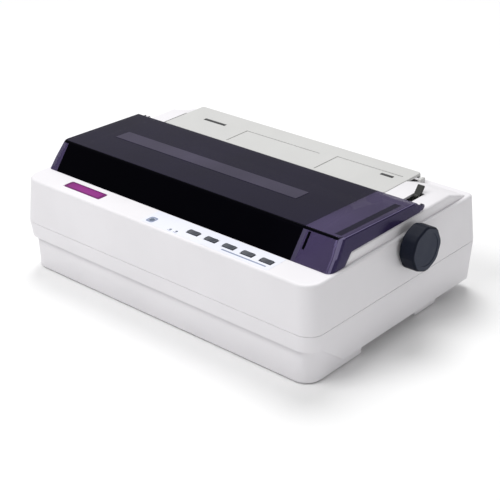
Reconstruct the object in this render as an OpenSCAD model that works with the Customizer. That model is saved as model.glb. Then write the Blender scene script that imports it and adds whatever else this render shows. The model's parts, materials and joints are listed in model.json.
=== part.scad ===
// Desktop dot matrix printer, 80 columns, with a hinged smoked cover.
// Millimetres. Inside this file x runs left to right from the left top edge of the case,
// y runs front to rear from the front top edge, and z is the height over the desk.
// The whole part is then moved so that its origin is at the middle of its underside.

/* [Case] */
// Width of the case at its top edge
body_w = 400; // [380:1:490]
// Depth of the case at its top edge
body_d = 260; // [250:1:320]
// Height of the front deck over the desk
shoulder_z = 105; // [104:0.5:112]
// Height of the line where the upper and lower case meet
parting_z = 55; // [52:0.5:58]
// Height of the rear deck over the front deck
deck_rise = 11; // [10:0.5:13]
// How far the walls swell outwards from the top edge to the parting line
wall_swell = 4.4; // [3:0.1:6]
// Thickness of the plastic walls
wall = 2.5; // [2:0.1:3]
// Radius of the two front corners
front_corner_r = 18; // [12:1:24]
// Radius of the two rear corners
rear_corner_r = 7; // [4:0.5:12]

/* [Skirt and feet] */
// Height of the step over the front skirt
skirt_top_z = 37.5; // [34:0.5:42]
// Depth of the front skirt
skirt_d = 77; // [60:1:90]
// Bottom of the side walls over the desk
side_bottom_z = 10; // [8:0.5:12]
// Thickness of the rubber feet that shows under the case
foot_gap = 1.5; // [1:0.1:3]
// Diameter of the rubber feet
foot_d = 16; // [12:0.5:18]

/* [Cover] */
// Front edge of the cover, measured from the front of the case
cover_front_y = 31.3; // [29:0.1:34]
// Rear edge of the cover, measured from the front of the case
cover_rear_y = 178.4; // [178:0.1:182]
// Height of the cover over the front deck at its front top edge
cover_h = 27.5; // [27:0.1:32]
// Drop of the cover's top from front to rear
cover_fall = 4.5; // [2:0.1:6]
// Thickness of the cover's walls
cover_wall = 2.2; // [1.8:0.1:2.6]
// Radius of the cover's two front corners, seen from above
cover_corner_r = 6; // [4:0.5:12]

/* [Rear sheet guide] */
// Thickness of the guide's plate
guide_t = 3; // [2.5:0.1:3.5]
// Gap between the guide and the case around it
guide_gap = 1; // [0.6:0.1:1.5]

/* [Platen and knob] */
// Radius of the rubber roller
platen_r = 17; // [15:0.1:17.5]
// Radius of the platen shaft
platen_shaft_r = 4; // [3:0.1:4.5]
// Height of the platen shaft over the desk
platen_z = 92; // [90:0.5:93]
// Radius of the paper feed knob
knob_r = 23.3; // [18:0.1:26]
// Length of the paper feed knob
knob_l = 17.6; // [14:0.1:22]

/* [Carriage] */
// Radius of the rod that the carriage slides on
carriage_rod_r = 5; // [4:0.1:6]
// Width of the carriage
carriage_w = 40; // [34:1:44]
// Radius of the belt's path round its pulleys
belt_r = 8; // [7:0.1:9]
// Width of the toothed belt
belt_w = 6; // [4:0.5:7]

/* [Control panel] */
// Width of a push button
button_w = 14.5; // [10:0.1:16]
// Depth of a push button, front to rear
button_d = 7; // [5:0.1:8]
// Distance between two push buttons
button_pitch = 23.6; // [20:0.1:24]
// Travel of a push button
button_travel = 0.8; // [0.4:0.1:1]

/* [Hidden] */
$fn = 64;

// General clearances
slack = 0.3;      // between pieces that move past each other
running = 0.05;   // radial clearance of a shaft in its bearing
thin = 0.01;      // thickness of the slices that a hull joins
far = 1000;       // longer than anything here

// Main levels
deck_z = shoulder_z + deck_rise;
skirt_bottom_z = foot_gap;
floor_z = side_bottom_z + wall;
plate_t = 1.2;
plate_z = floor_z + 3.5;            // underside of the steel base plate
plate_top_z = plate_z + plate_t;

// Rails beside the cover and the deck behind it
rail_in = 4;                        // from the top edge to the rail's outer face
rail_w = 8;
rail_front_y = 53;                  // foot of the slope at the rail's front end
rail_slope = 11;
rear_deck_y = cover_rear_y + 2.6;   // front face of the rear deck
deck_slope_d = 30;                  // length of the slope down to the rear rim
rim_d = 8;                          // width of the flat rear rim
deck_end_y = body_d - rim_d - deck_slope_d;
rim_y = body_d - rim_d;

// Side frames
frame_t = 2;
frame_left_x = 30;
frame_right_x = body_w - 66;
frame_front_y = 60;
frame_rear_y = rim_y - 12;
frame_in_l = frame_left_x + frame_t;
frame_in_r = frame_right_x;

// Mechanism bay in the upper case
bay_left_x = 14;
bay_right_x = body_w - 50;
bay_front_y = cover_front_y + 6.7;
paper_left_x = frame_left_x - 4;
paper_right_x = frame_right_x + 8;

// Cover hinge
hinge_pin_r = 1.5;
hinge_eye_r = 3.2;
hinge_y = cover_rear_y - 1.9;
hinge_z = deck_z + hinge_eye_r + 0.5;
cover_side_in = 3.6;                // cover's side wall, in from the top edge, at deck height
cover_top_in = 6.5;                 // and at its top
ear_x = cover_top_in + slack + 0.8;
ear_w = 3.4;
ear_r = 2.8;

// Sheet guide
guide_x0 = paper_left_x + guide_gap;
guide_x1 = paper_right_x - guide_gap;
guide_y0 = rear_deck_y + 5;
guide_y1 = rim_y - 2;
guide_pin_r = 2;
guide_pin_y = guide_y0 + 3.4;
guide_pin_z = deck_z - guide_t - 0.6;
guide_boss_w = 6;

// Platen
platen_y = 149;                     // shaft, from the front of the case
roller_x0 = frame_in_l + 12;
roller_x1 = frame_in_r - 14;
knob_gap = 2.3;
knob_x = body_w + wall_swell * (shoulder_z - platen_z) / (shoulder_z - parting_z) + knob_gap;
knob_end_x = knob_x + knob_l;

// Gears: all of one module, all turning about x
gear_m = 1;
gear_w = 6;
gear_x = frame_left_x - 9;
platen_teeth = 48;
small_teeth = 12;
big_teeth = 40;
idler_teeth = 16;
tractor_teeth = 34;
backlash = 0.12;
stud_r = 2.5;
reduction_dir = -70;                // direction from the platen to the reduction gear
motor_dir = -60;                    // direction from the reduction gear to the motor
big_gear_w = 5;
big_gear_x = gear_x - big_gear_w - 1;

function pitch_r(teeth) = gear_m * teeth / 2;
function spot(from, angle, distance) =
    [from[0] + distance * cos(angle), from[1] + distance * sin(angle)];
// Where a gear's tooth stands when it meshes with a neighbour whose tooth stands at its_phase
function mesh_phase(its_phase, its_teeth, dir, teeth) =
    dir + 180 - (its_phase - dir) * its_teeth / teeth + 180 / teeth;

platen_at = [platen_y, platen_z];
idler_at = spot(platen_at, 0, pitch_r(platen_teeth) + pitch_r(idler_teeth));
tractor_at = spot(idler_at, 0, pitch_r(idler_teeth) + pitch_r(tractor_teeth));
reduction_at = spot(platen_at, reduction_dir, pitch_r(platen_teeth) + pitch_r(small_teeth));
motor_at = spot(reduction_at, motor_dir, pitch_r(big_teeth) + pitch_r(small_teeth));
idler_phase = mesh_phase(0, platen_teeth, 0, idler_teeth);
tractor_phase = mesh_phase(idler_phase, idler_teeth, 0, tractor_teeth);
reduction_phase = mesh_phase(0, platen_teeth, reduction_dir, small_teeth);
pinion_phase = mesh_phase(0, big_teeth, motor_dir, small_teeth);

// Tractors
tractor_rod_r = 4;
tractor_rod_at = [tractor_at[0] + 24, tractor_at[1]];
shaft_side = 8;                     // square part of the tractor drive shaft
tractor_w = 16;
tractor_left_x = frame_in_l + 26;
tractor_right_x = frame_in_r - 34;
pin_wheel_r = 12;
pin_wheel_w = 7;
pin_h = 2.4;
door_t = 2;
door_z = tractor_at[1] + pin_wheel_r + 1;
door_y0 = tractor_at[0] - 12;
door_y1 = tractor_at[0] + 16;
door_pin_r = 0.8;

// Carriage, its rod, rail and belt
rod_at = [112, 70];
rail_y = 77;
rail_t = 1.5;
rail_top_z = 64;
belt_t = 1.2;
belt_z = 50;
belt_y = rod_at[0] - 14;            // middle of the belt's loop
drive_pulley_x = frame_in_l + 24;
tension_pulley_x = frame_in_r - 12;
flange_r = belt_r + 1.5;
clamp_w = 12;
home_x = drive_pulley_x + flange_r + clamp_w / 2 + 2.5;
carriage_bottom_z = belt_z + belt_w + 2;
carriage_top_z = 82;
carriage_rear_y = rod_at[0] + 14;
carriage_front_y = rod_at[0] - 14;

// Print head and ribbon
head_w = 28;
head_z = carriage_top_z;
head_h = 22;
ribbon_t = 0.3;
ribbon_y = platen_y - platen_r - 1;  // the side that faces the platen
nose_tip_y = ribbon_y - ribbon_t - slack;
ribbon_z = platen_z - 5;
ribbon_h = 10;
cartridge_x0 = roller_x0 - 4;
cartridge_x1 = frame_in_r - 6.5;
cartridge_y0 = frame_front_y - 2;
cartridge_y1 = rod_at[0] - 18;
cartridge_z = 84;
cartridge_h = 16;
cartridge_arm_w = 6.5;
ribbon_knob_x = cartridge_x1 - 30;
ribbon_knob_y = cartridge_y0 + 18;
ribbon_knob_r = 7;

// Paper bail
bail_pivot = [116, 98];
bail_rod_r = 3;
bail_roller_r = 6;
bail_at = spot(platen_at, 120, platen_r + bail_roller_r + slack);
bail_arm_t = 3;
bail_arm_gap = 2;
bail_pin_r = 2.5;

// Control panel
button_y = 16.4;
button_5_x = body_w - 66;
button_proud = 1.2;
board_t = 1.6;
control_board_z = shoulder_z - 11;
switch_h = 4;
light_marks = [[186, 12, 3], [216, 8.2, 1.4], [224, 8.6, 1.4]];

// Rear sockets, in x and height
port_x = 96;
port_w = 64;
inlet_x = body_w - 56;
inlet_w = 28;
socket_z = 20;
socket_h = 24;

// Power switch in the left wall
switch_y = 72;
switch_z = 76;
switch_l = 20;
switch_w = 12;
rocker_tilt = 6;
rocker_x = 4.6;
bezel_x = -2.4;                     // seat of the switch's bezel

// Release lever
lever_x = body_w - 33.5;
lever_w = 7;
lever_t = 3;
lever_pivot = [201, 72];
lever_rod_r = 3;

// Posts that the case screws go through, and the feet
post_r = 4.5;
screw_r = 1.5;
post_spots = [for (x = [14, body_w - 14]) for (y = [24, rim_y - 4]) [x, y]];
rear_foot_y0 = 168;
rear_foot_d = 36;
rear_foot_w = 30;
skirt_in = 2;                       // the skirt's side walls, in from the top edge
foot_spots = [for (x = [24, body_w - 24]) for (y = [18, rear_foot_y0 + rear_foot_d / 2]) [x, y]];

// Middle of the part's box, which becomes its origin
centre_x = (knob_end_x - wall_swell) / 2;
centre_y = (body_d - wall_swell) / 2;

// ---------- shared shapes ----------

module placed() {
    translate([-centre_x, -centre_y, 0]) children();
}

// Puts a flat shape drawn in y and z upright, from x on
module along_x(x, length) {
    translate([x, 0, 0]) rotate([90, 0, 90]) linear_extrude(length) children();
}

// Puts a flat shape drawn in x and z upright, from y on
module along_y(y, length) {
    translate([0, y + length, 0]) rotate([90, 0, 0]) linear_extrude(length) children();
}

module box(low, high) {
    translate(low) cube(high - low);
}

// A round bar along x; at is its place in y and z
module bar_x(x, length, at, r) {
    translate([x, at[0], at[1]]) rotate([0, 90, 0]) cylinder(r = r, h = length);
}

module bar_z(x, y, z, length, r) {
    translate([x, y, z]) cylinder(r = r, h = length);
}

// A flat bar with round ends between two places
module link(a, b, r) {
    length = norm(b - a);
    translate(a) rotate(atan2(b[1] - a[1], b[0] - a[0])) {
        translate([0, -r]) square([length, 2 * r]);
        circle(r);
        translate([length, 0]) circle(r);
    }
}

// Rectangle with round corners
module round_rect(x0, x1, y0, y1, r) {
    translate([x0 + r, y0]) square([x1 - x0 - 2 * r, y1 - y0]);
    translate([x0, y0 + r]) square([x1 - x0, y1 - y0 - 2 * r]);
    for (x = [x0 + r, x1 - r], y = [y0 + r, y1 - r]) translate([x, y]) circle(r);
}

// One slice of the case: out is how far it stands out at the sides, front and rear
module case_corners(z, out) {
    x0 = -out[0];
    x1 = body_w + out[0];
    y0 = -out[1];
    y1 = body_d + out[2];
    for (x = [x0 + front_corner_r, x1 - front_corner_r])
        translate([x, y0 + front_corner_r, z]) cylinder(r = front_corner_r, h = thin, $fn = 32);
    for (x = [x0 + rear_corner_r, x1 - rear_corner_r])
        translate([x, y1 - rear_corner_r, z]) cylinder(r = rear_corner_r, h = thin, $fn = 32);
}

// A block whose walls lean evenly from one slice to the next
module case_block(low_z, low_out, high_z, high_out) {
    hull() {
        case_corners(low_z, low_out);
        case_corners(high_z - thin, high_out);
    }
}

// Involute spur gear drawn flat, with a tooth centred on the angle phase
function involute_angle(base, r) = sqrt(r * r / (base * base) - 1) * 180 / PI - acos(base / r);
module gear_outline(teeth, phase) {
    r = pitch_r(teeth);
    base = r * cos(20);
    root = r - 1.25 * gear_m;
    tip = r + 0.95 * gear_m;
    low = max(base, root + 0.1);
    half = 90 / teeth - backlash / r * 180 / PI + involute_angle(base, r);
    steps = [0, 0.35, 0.7, 1];
    radii = [for (s = steps) low + (tip - low) * s];
    points = [for (t = [0:teeth - 1]) let (mid = phase + t * 360 / teeth) each concat(
        [[root, mid - half - 0.15 * 180 / teeth]],
        [for (q = radii) [q, mid - half + involute_angle(base, q)]],
        [for (i = [3:-1:0]) [radii[i], mid + half - involute_angle(base, radii[i])]],
        [[root, mid + half + 0.15 * 180 / teeth]])];
    polygon([for (p = points) [p[0] * cos(p[1]), p[0] * sin(p[1])]]);
}

module gear(x, width, at, teeth, phase) {
    along_x(x, width) translate(at) gear_outline(teeth, phase);
}

// ---------- case ----------

module rail_profile() {
    polygon([[rail_front_y, shoulder_z - 1], [rail_front_y, shoulder_z],
        [rail_front_y + rail_slope, deck_z], [deck_end_y, deck_z], [rim_y, shoulder_z],
        [rim_y, shoulder_z - 1]]);
}

module rear_deck_hollow() {
    polygon([[rear_deck_y + wall, parting_z], [rear_deck_y + wall, deck_z - wall],
        [deck_end_y - 1, deck_z - wall], [rim_y - 1, shoulder_z - wall], [rim_y - 1, parting_z]]);
}

module post_holes() {
    for (p = post_spots) bar_z(p[0], p[1], -1, parting_z + 14, screw_r + 0.03);
}

module upper_case_shell() {
    difference() {
        union() {
            case_block(parting_z, [wall_swell, wall_swell, 0], shoulder_z, [0, 0, 0]);
            along_x(rail_in, body_w - 2 * rail_in) rail_profile();
        }
        case_block(parting_z - thin, [wall_swell - wall, wall_swell - wall, -wall],
            shoulder_z - wall, [-wall, -wall, -wall]);
        along_x(rail_in + wall, body_w - 2 * (rail_in + wall)) rear_deck_hollow();
        // hollow that the cover closes, between the rails
        box([rail_in + rail_w, cover_front_y, shoulder_z],
            [body_w - rail_in - rail_w, rear_deck_y, deck_z + 1]);
        // mechanism bay and paper opening
        box([bay_left_x, bay_front_y, parting_z], [bay_right_x, rear_deck_y + 1, deck_z + 1]);
        box([paper_left_x, rear_deck_y - 1, parting_z], [paper_right_x, rim_y, deck_z + 1]);
    }
}

module upper_case_bosses() {
    // ears that carry the cover's hinge pins
    for (x = [ear_x, body_w - ear_x - ear_w]) {
        bar_x(x, ear_w, [hinge_y, hinge_z], ear_r);
        box([x, hinge_y - ear_r, deck_z - 1], [x + ear_w, hinge_y + ear_r, hinge_z]);
    }
    // bosses under the deck for the sheet guide's pins
    for (x = [paper_left_x - guide_boss_w, paper_right_x])
        box([x, guide_pin_y - 4, guide_pin_z - 4], [x + guide_boss_w, guide_pin_y + 4, deck_z - 1]);
    // posts for the case screws
    for (p = post_spots) {
        top = p[1] < body_d / 2 ? shoulder_z - 1 : shoulder_z + 1;
        bar_z(p[0], p[1], parting_z, top - parting_z, post_r);
    }
}

module button_openings() {
    for (i = [1:5]) {
        x = button_x(i);
        box([x - button_w / 2 - slack, button_y - button_d / 2 - slack, shoulder_z - wall - 1],
            [x + button_w / 2 + slack, button_y + button_d / 2 + slack, shoulder_z + 1]);
    }
    for (m = light_marks) bar_z(m[0], m[1], shoulder_z - wall - 1, wall + 2, m[2]);
}

module upper_case() {
    color("whitesmoke") difference() {
        union() {
            upper_case_shell();
            upper_case_bosses();
        }
        for (x = [ear_x - 1, body_w - ear_x - ear_w - 1])
            bar_x(x, ear_w + 2, [hinge_y, hinge_z], hinge_pin_r + running);
        for (x = [paper_left_x - guide_boss_w - 1, paper_right_x - 1])
            bar_x(x, guide_boss_w + 2, [guide_pin_y, guide_pin_z], guide_pin_r + running);
        post_holes();
        button_openings();
        // knob shaft, power switch and release lever
        bar_x(body_w - 10, 20, platen_at, platen_shaft_r + 2);
        box([-10, switch_y - switch_l / 2 - 1.5, switch_z - switch_w / 2 - 1.5],
            [10, switch_y + switch_l / 2 + 1.5, switch_z + switch_w / 2 + 1.5]);
        box([-10, switch_y - switch_l / 2 - 3, switch_z - switch_w / 2 - 3],
            [bezel_x, switch_y + switch_l / 2 + 3, switch_z + switch_w / 2 + 3]);
        box([lever_x - 1.5, lever_pivot[0] - 17, deck_z - wall - 1],
            [lever_x + lever_w + 1.5, lever_pivot[0] + 7, deck_z + 1]);
        // seat of the nameplate
        box([nameplate_x, nameplate_y, shoulder_z - 0.5],
            [nameplate_x + nameplate_w, nameplate_y + nameplate_d, shoulder_z + 1]);
    }
}

// The recess round the front skirt, cut slantwise at the sides
module skirt_recess() {
    polygon([[-20, -1], [-20, skirt_top_z], [12, skirt_top_z], [50, side_bottom_z - 2], [50, -1]]);
}

// The skirt and its hollow: inset is the wall, taken off every side
module skirt_block(low_z, high_z, inset) {
    x0 = skirt_in + inset;
    x1 = body_w - skirt_in - inset;
    r = front_corner_r - inset;
    hull() for (z = [low_z, high_z - thin]) {
        for (x = [x0 + r, x1 - r])
            translate([x, inset - 1 + r, z]) cylinder(r = r, h = thin, $fn = 32);
        for (x = [x0, x1 - 1]) translate([x, skirt_d - inset - 1, z]) cube([1, 1, thin]);
    }
}

// The step over the skirt, which closes the case between its walls and the skirt
module skirt_step() {
    polygon([[-20, skirt_top_z], [12, skirt_top_z], [50, side_bottom_z - 2],
        [54, side_bottom_z - 2], [14, skirt_top_z + wall], [-20, skirt_top_z + wall]]);
}

module lower_case_outside() {
    case_block(side_bottom_z, [1, 1, -3], parting_z, [wall_swell, wall_swell, 0]);
}

module lower_case_shell() {
    difference() {
        union() {
            difference() {
                lower_case_outside();
                case_block(floor_z, [1 - wall, -2, -3 - wall], parting_z + thin,
                    [wall_swell - wall, wall_swell - wall, -wall]);
                along_x(-far / 2, far) skirt_recess();
            }
            intersection() {
                lower_case_outside();
                along_x(-far / 2, far) skirt_step();
            }
            skirt_block(skirt_bottom_z, skirt_top_z + wall, 0);
            for (x = [4.5, body_w - 4.5 - rear_foot_w])
                box([x, rear_foot_y0, skirt_bottom_z],
                    [x + rear_foot_w, rear_foot_y0 + rear_foot_d, floor_z]);
        }
        skirt_block(skirt_bottom_z + wall, parting_z, wall);
        // the case's own floor goes on behind the skirt
        box([skirt_in + wall, skirt_d - wall - 2, floor_z],
            [body_w - skirt_in - wall, skirt_d + 1, parting_z]);
    }
}

module lower_case() {
    color("gainsboro") difference() {
        union() {
            lower_case_shell();
            for (p = post_spots) bar_z(p[0], p[1], under_z(p) + 1, parting_z - under_z(p) - 1, post_r);
            for (p = plate_posts()) bar_z(p[0], p[1], p[2], plate_z - p[2], post_r);
        }
        post_holes();
        for (p = post_spots) bar_z(p[0], p[1], -1, screw_head_z(p) + 1, screw_head_r + 0.3);
        for (p = foot_spots) bar_z(p[0], p[1], -1, foot_gap + 2, foot_d / 2);
        box([port_x, body_d - 12, socket_z + 2], [port_x + port_w, body_d + 2, socket_z + socket_h - 2]);
        box([inlet_x, body_d - 12, socket_z], [inlet_x + inlet_w, body_d + 2, socket_z + socket_h]);
    }
}

screw_head_r = 3;
screw_head_h = 2.4;
// The front posts start in the skirt's floor and the rear ones in the case's own floor
function under_z(p) = p[1] < skirt_d ? skirt_bottom_z : side_bottom_z;
function screw_head_z(p) = under_z(p) + screw_head_h + 1.4;
function plate_posts() = [for (x = [60, body_w - 60]) for (y = [56, frame_rear_y - 10])
    [x, y, under_z([x, y]) + 1]];

module rubber_feet() {
    color("dimgray") for (p = foot_spots) bar_z(p[0], p[1], 0, foot_gap + 1, foot_d / 2 - 0.05);
}

module case_screws() {
    color("silver") for (p = post_spots) {
        z = screw_head_z(p);
        difference() {
            union() {
                bar_z(p[0], p[1], z - screw_head_h, screw_head_h, screw_head_r);
                bar_z(p[0], p[1], z - 0.5, parting_z + 12 - z, screw_r);
            }
            // cross recess
            for (turn = [0, 90])
                translate([p[0], p[1], z - screw_head_h]) rotate(turn)
                    cube([3.4, 0.8, 2], center = true);
        }
    }
}

// ---------- cover and sheet guide ----------

// Side view of the cover; in is the wall thickness taken off inside
module cover_profile(in) {
    rail_top = deck_z + 0.5;
    polygon([
        [cover_front_y + in * 1.25, shoulder_z + 0.2 - in],
        [cover_front_y + 21.4 + in * 0.55, shoulder_z + cover_h - in],
        [cover_rear_y - 12.6 - in * 0.3, shoulder_z + cover_h - cover_fall - in],
        [cover_rear_y - in * 1.3, rail_top - in],
        [rail_front_y + rail_slope - 0.6, rail_top - in],
        [rail_front_y - 0.6, shoulder_z + 0.2 - in]]);
}

// Front view: the side walls lean in a little towards the top
module cover_front_view(in) {
    low = cover_side_in - 0.6 + in;
    mid = cover_side_in + in;
    high = cover_top_in + in;
    top_z = shoulder_z + cover_h;
    polygon([[low, shoulder_z - 5], [mid, deck_z], [high, top_z + 1],
        [body_w - high, top_z + 1], [body_w - mid, deck_z], [body_w - low, shoulder_z - 5]]);
}

module cover_solid(in) {
    intersection() {
        along_x(0, body_w) cover_profile(in);
        along_y(0, body_d) cover_front_view(in);
        translate([0, 0, shoulder_z - 10]) linear_extrude(60)
            round_rect(cover_side_in - 0.6 + in, body_w - cover_side_in + 0.6 - in,
                cover_front_y + in, cover_rear_y + 30, cover_corner_r - in);
    }
}

// Rear corner of the side wall, rounded about the hinge so that it can turn
module cover_lug_profile() {
    top_z = shoulder_z + cover_h - cover_fall;
    translate([hinge_y, hinge_z]) circle(hinge_eye_r);
    polygon([[hinge_y - 20, deck_z + 0.5], [hinge_y, deck_z + 0.5], [hinge_y + hinge_eye_r, hinge_z],
        [hinge_y - 10.7, top_z], [hinge_y - 20, top_z]]);
}

module cover_rear_corner() {
    lug_w = cover_wall - 0.3;
    pin_x = cover_side_in + 1.6;
    intersection() {
        along_x(0, ear_x) cover_lug_profile();
        difference() {
            along_y(0, body_d) cover_front_view(0);
            along_y(-1, body_d + 2) cover_front_view(lug_w);
        }
    }
    bar_x(pin_x, ear_x + ear_w - pin_x, [hinge_y, hinge_z], hinge_pin_r);
}

module smoked_cover() {
    color("darkslateblue", 0.8) {
        difference() {
            cover_solid(0);
            cover_solid(cover_wall);
            // room for the ears, and the turning corners
            for (x = [0, body_w - rail_in - rail_w - 1])
                box([x, hinge_y - 6, shoulder_z], [x + rail_in + rail_w + 1, body_d, deck_z + cover_h]);
        }
        cover_rear_corner();
        translate([body_w, 0, 0]) mirror([1, 0, 0]) cover_rear_corner();
        // raised frosted strip on the top
        strip_z = shoulder_z + cover_h - cover_fall * 0.55;
        intersection() {
            box([44, 96, strip_z - 3], [body_w - 98, 116, strip_z + 3]);
            translate([0, 0, 0.5]) difference() {
                cover_solid(0);
                translate([0, 0, -1.5]) cover_solid(0);
            }
        }
    }
}

module sheet_guide() {
    color("gainsboro") difference() {
        union() {
            box([guide_x0, guide_y0, deck_z - guide_t], [guide_x1, guide_y1, deck_z]);
            // turned-down rear lip
            box([guide_x0, guide_y1 - 3, deck_z - 6], [guide_x1, guide_y1, deck_z]);
            for (x = [guide_x0, guide_x1 - 6])
                bar_x(x, 6, [guide_pin_y, guide_pin_z], 3.3);
            for (x = [guide_x0 - guide_boss_w + 0.6, guide_x1 - 3])
                bar_x(x, guide_boss_w + 2.4, [guide_pin_y, guide_pin_z], guide_pin_r);
        }
        // slots for the edge guides, and two shallow recesses
        box([57, guide_y1 - 31, deck_z - 8], [90, guide_y1 - 26, deck_z + 1]);
        box([guide_x1 - 32, guide_y1 - 29, deck_z - 8], [guide_x1 - 16, guide_y1 - 25, deck_z + 1]);
        box([120, guide_y0 + 4, deck_z - 0.8], [226, guide_y1 - 25, deck_z + 1]);
        box([246, guide_y0 + 4, deck_z - 0.8], [guide_x1 - 8, guide_y1 - 20, deck_z + 1]);
    }
}

module lever_rod() {
    color("silver") bar_x(frame_right_x + frame_t, lever_x + lever_w - frame_right_x - frame_t + 2,
        lever_pivot, lever_rod_r);
}

module release_lever() {
    deck_y = lever_pivot[0];
    top = [deck_y + 7.5, deck_z + 7];
    color("darkolivegreen") difference() {
        union() {
            along_x(lever_x + 1.5, lever_w - 3) {
                translate(lever_pivot) circle(7);
                link(lever_pivot, [deck_y, deck_z - 2], 2.6);
            }
            along_x(lever_x, lever_w) link([deck_y, deck_z - 2], top, lever_t / 2);
        }
        bar_x(lever_x - 1, lever_w + 2, lever_pivot, lever_rod_r + running);
    }
}

nameplate_x = 52;
nameplate_y = 10.5;
nameplate_w = 56;
nameplate_d = 14;

module nameplate() {
    color("mediumvioletred") box([nameplate_x + 0.1, nameplate_y + 0.1, shoulder_z - 0.5],
        [nameplate_x + nameplate_w - 0.1, nameplate_y + nameplate_d - 0.1, shoulder_z + 0.2]);
}

// ---------- control panel ----------

function button_x(i) = button_5_x - (5 - i) * button_pitch;

module button(i) {
    x = button_x(i);
    flange_z = shoulder_z - wall - slack - 1 - 0.1;
    stem_z = control_board_z + board_t + switch_h + button_travel + 0.15;
    color("dimgray") {
        box([x - button_w / 2, button_y - button_d / 2, flange_z],
            [x + button_w / 2, button_y + button_d / 2, shoulder_z + button_proud]);
        box([x - button_w / 2 - 1.5, button_y - button_d / 2 - 1.5, flange_z],
            [x + button_w / 2 + 1.5, button_y + button_d / 2 + 1.5, flange_z + 1]);
        bar_z(x, button_y, stem_z, flange_z - stem_z, 2);
    }
}

module button_1() { button(1); }
module button_2() { button(2); }
module button_3() { button(3); }
module button_4() { button(4); }
module button_5() { button(5); }

module indicator_lights() {
    color("lightsteelblue") for (m = light_marks) {
        bar_z(m[0], m[1], control_board_z + board_t, shoulder_z - control_board_z - board_t + 0.2,
            m[2] - 0.1);
    }
}

module control_board() {
    x0 = 174;
    x1 = button_5_x + 14;
    color("seagreen") box([x0, 4, control_board_z], [x1, 28, control_board_z + board_t]);
    color("black") for (i = [1:5]) {
        x = button_x(i);
        z = control_board_z + board_t;
        box([x - 3, button_y - 3, z], [x + 3, button_y + 3, z + switch_h - 0.6]);
        bar_z(x, button_y, z + switch_h - 0.6, 0.6, 1.7);
    }
    // posts up to the deck
    color("seagreen") for (x = [x0 + 4, x1 - 4])
        bar_z(x, 24, control_board_z + board_t, shoulder_z - wall - control_board_z - board_t, 2.5);
}

// ---------- frame ----------

module frame_outline() {
    difference() {
        polygon([[frame_front_y, plate_top_z], [frame_front_y, 94], [frame_front_y + 10, 102],
            [106, 108], [130, 110], [146, 110], [166, 108], [184, 103],
            [rim_y - 30, 103], [frame_rear_y, 84], [frame_rear_y, plate_top_z]]);
        translate(platen_at) circle(bush_r);
        translate(rod_at) circle(carriage_rod_r + 0.02);
        translate(tractor_at) circle(shaft_side / 2 + running);
        translate(tractor_rod_at) circle(tractor_rod_r + 0.02);
        translate(bail_pivot) circle(bail_pin_r + running);
        translate(motor_at) circle(6);
    }
}

bush_r = 7;

module side_frame(x, foot_x) {
    along_x(x, frame_t) frame_outline();
    // foot flange on the base plate
    box([foot_x, frame_front_y + 24, plate_top_z], [foot_x + 12, frame_front_y + 34, plate_top_z + 1.5]);
    box([foot_x, frame_rear_y - 20, plate_top_z], [foot_x + 12, frame_rear_y - 6, plate_top_z + 1.5]);
}

module side_frame_left() { color("lightgray") side_frame(frame_left_x, frame_left_x - 12); }
module side_frame_right() { color("lightgray") side_frame(frame_right_x, frame_right_x + frame_t); }

module base_plate() {
    color("darkgray") difference() {
        box([16, frame_front_y - 10, plate_z], [body_w - 10, frame_rear_y + 2, plate_top_z]);
        for (x = [90, (body_w - 90) / 2 + 45, body_w - 110])
            box([x - 15, 124, plate_z - 1], [x + 15, 138, plate_top_z + 1]);
    }
}

module platen_bushes() {
    color("ivory") for (x = [frame_left_x, frame_right_x]) difference() {
        union() {
            bar_x(x, frame_t, platen_at, bush_r - 0.02);
            bar_x(x == frame_left_x ? x + frame_t : x - 1.5, 1.5, platen_at, bush_r + 1.5);
        }
        bar_x(x - 5, 10, platen_at, platen_shaft_r + running);
    }
}

module paper_pan() {
    inner = platen_r + 2;
    outer = inner + 1.2;
    color("lightgray") along_x(frame_in_l, frame_in_r - frame_in_l) {
        intersection() {
            translate(platen_at) difference() {
                circle(outer);
                circle(inner);
            }
            translate(platen_at) polygon([[0, 0], 60 * [cos(210), sin(210)], [0, -60],
                60 * [cos(335), sin(335)]]);
        }
        link(platen_at + (outer - 0.6) * [cos(335), sin(335)], [tractor_at[0] - 19, tractor_at[1] + 7], 0.6);
    }
}

// ---------- platen and feed gears ----------

module platen_roller() {
    color("black") difference() {
        bar_x(roller_x0, roller_x1 - roller_x0, platen_at, platen_r);
        bar_x(roller_x0 - 1, roller_x1 - roller_x0 + 2, platen_at, platen_shaft_r);
    }
}

module platen_shaft() {
    color("silver") bar_x(gear_x - 3, knob_end_x - 4 - gear_x + 3, platen_at, platen_shaft_r);
}

module platen_gear() {
    color("ivory") difference() {
        union() {
            gear(gear_x, gear_w, platen_at, platen_teeth, 0);
            bar_x(gear_x - 1.5, gear_w + 1.5, platen_at, 8);
        }
        bar_x(gear_x - 3, gear_w + 4, platen_at, platen_shaft_r);
        for (a = [0:60:300])
            bar_x(gear_x - 3, gear_w + 4, spot(platen_at, a + 30, 15), 4);
    }
}

module platen_knob() {
    lobes = 8;
    color("darkslategray") difference() {
        union() {
            along_x(knob_x + 1.5, knob_l - 3) translate(platen_at) difference() {
                circle(knob_r);
                for (i = [0:lobes - 1]) translate(spot([0, 0], i * 360 / lobes, knob_r + 8.4)) circle(9.6);
            }
            bar_x(knob_x, knob_l, platen_at, knob_r - 2.4);
        }
        bar_x(knob_x - 1, knob_l - 3, platen_at, platen_shaft_r);
    }
}

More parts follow.
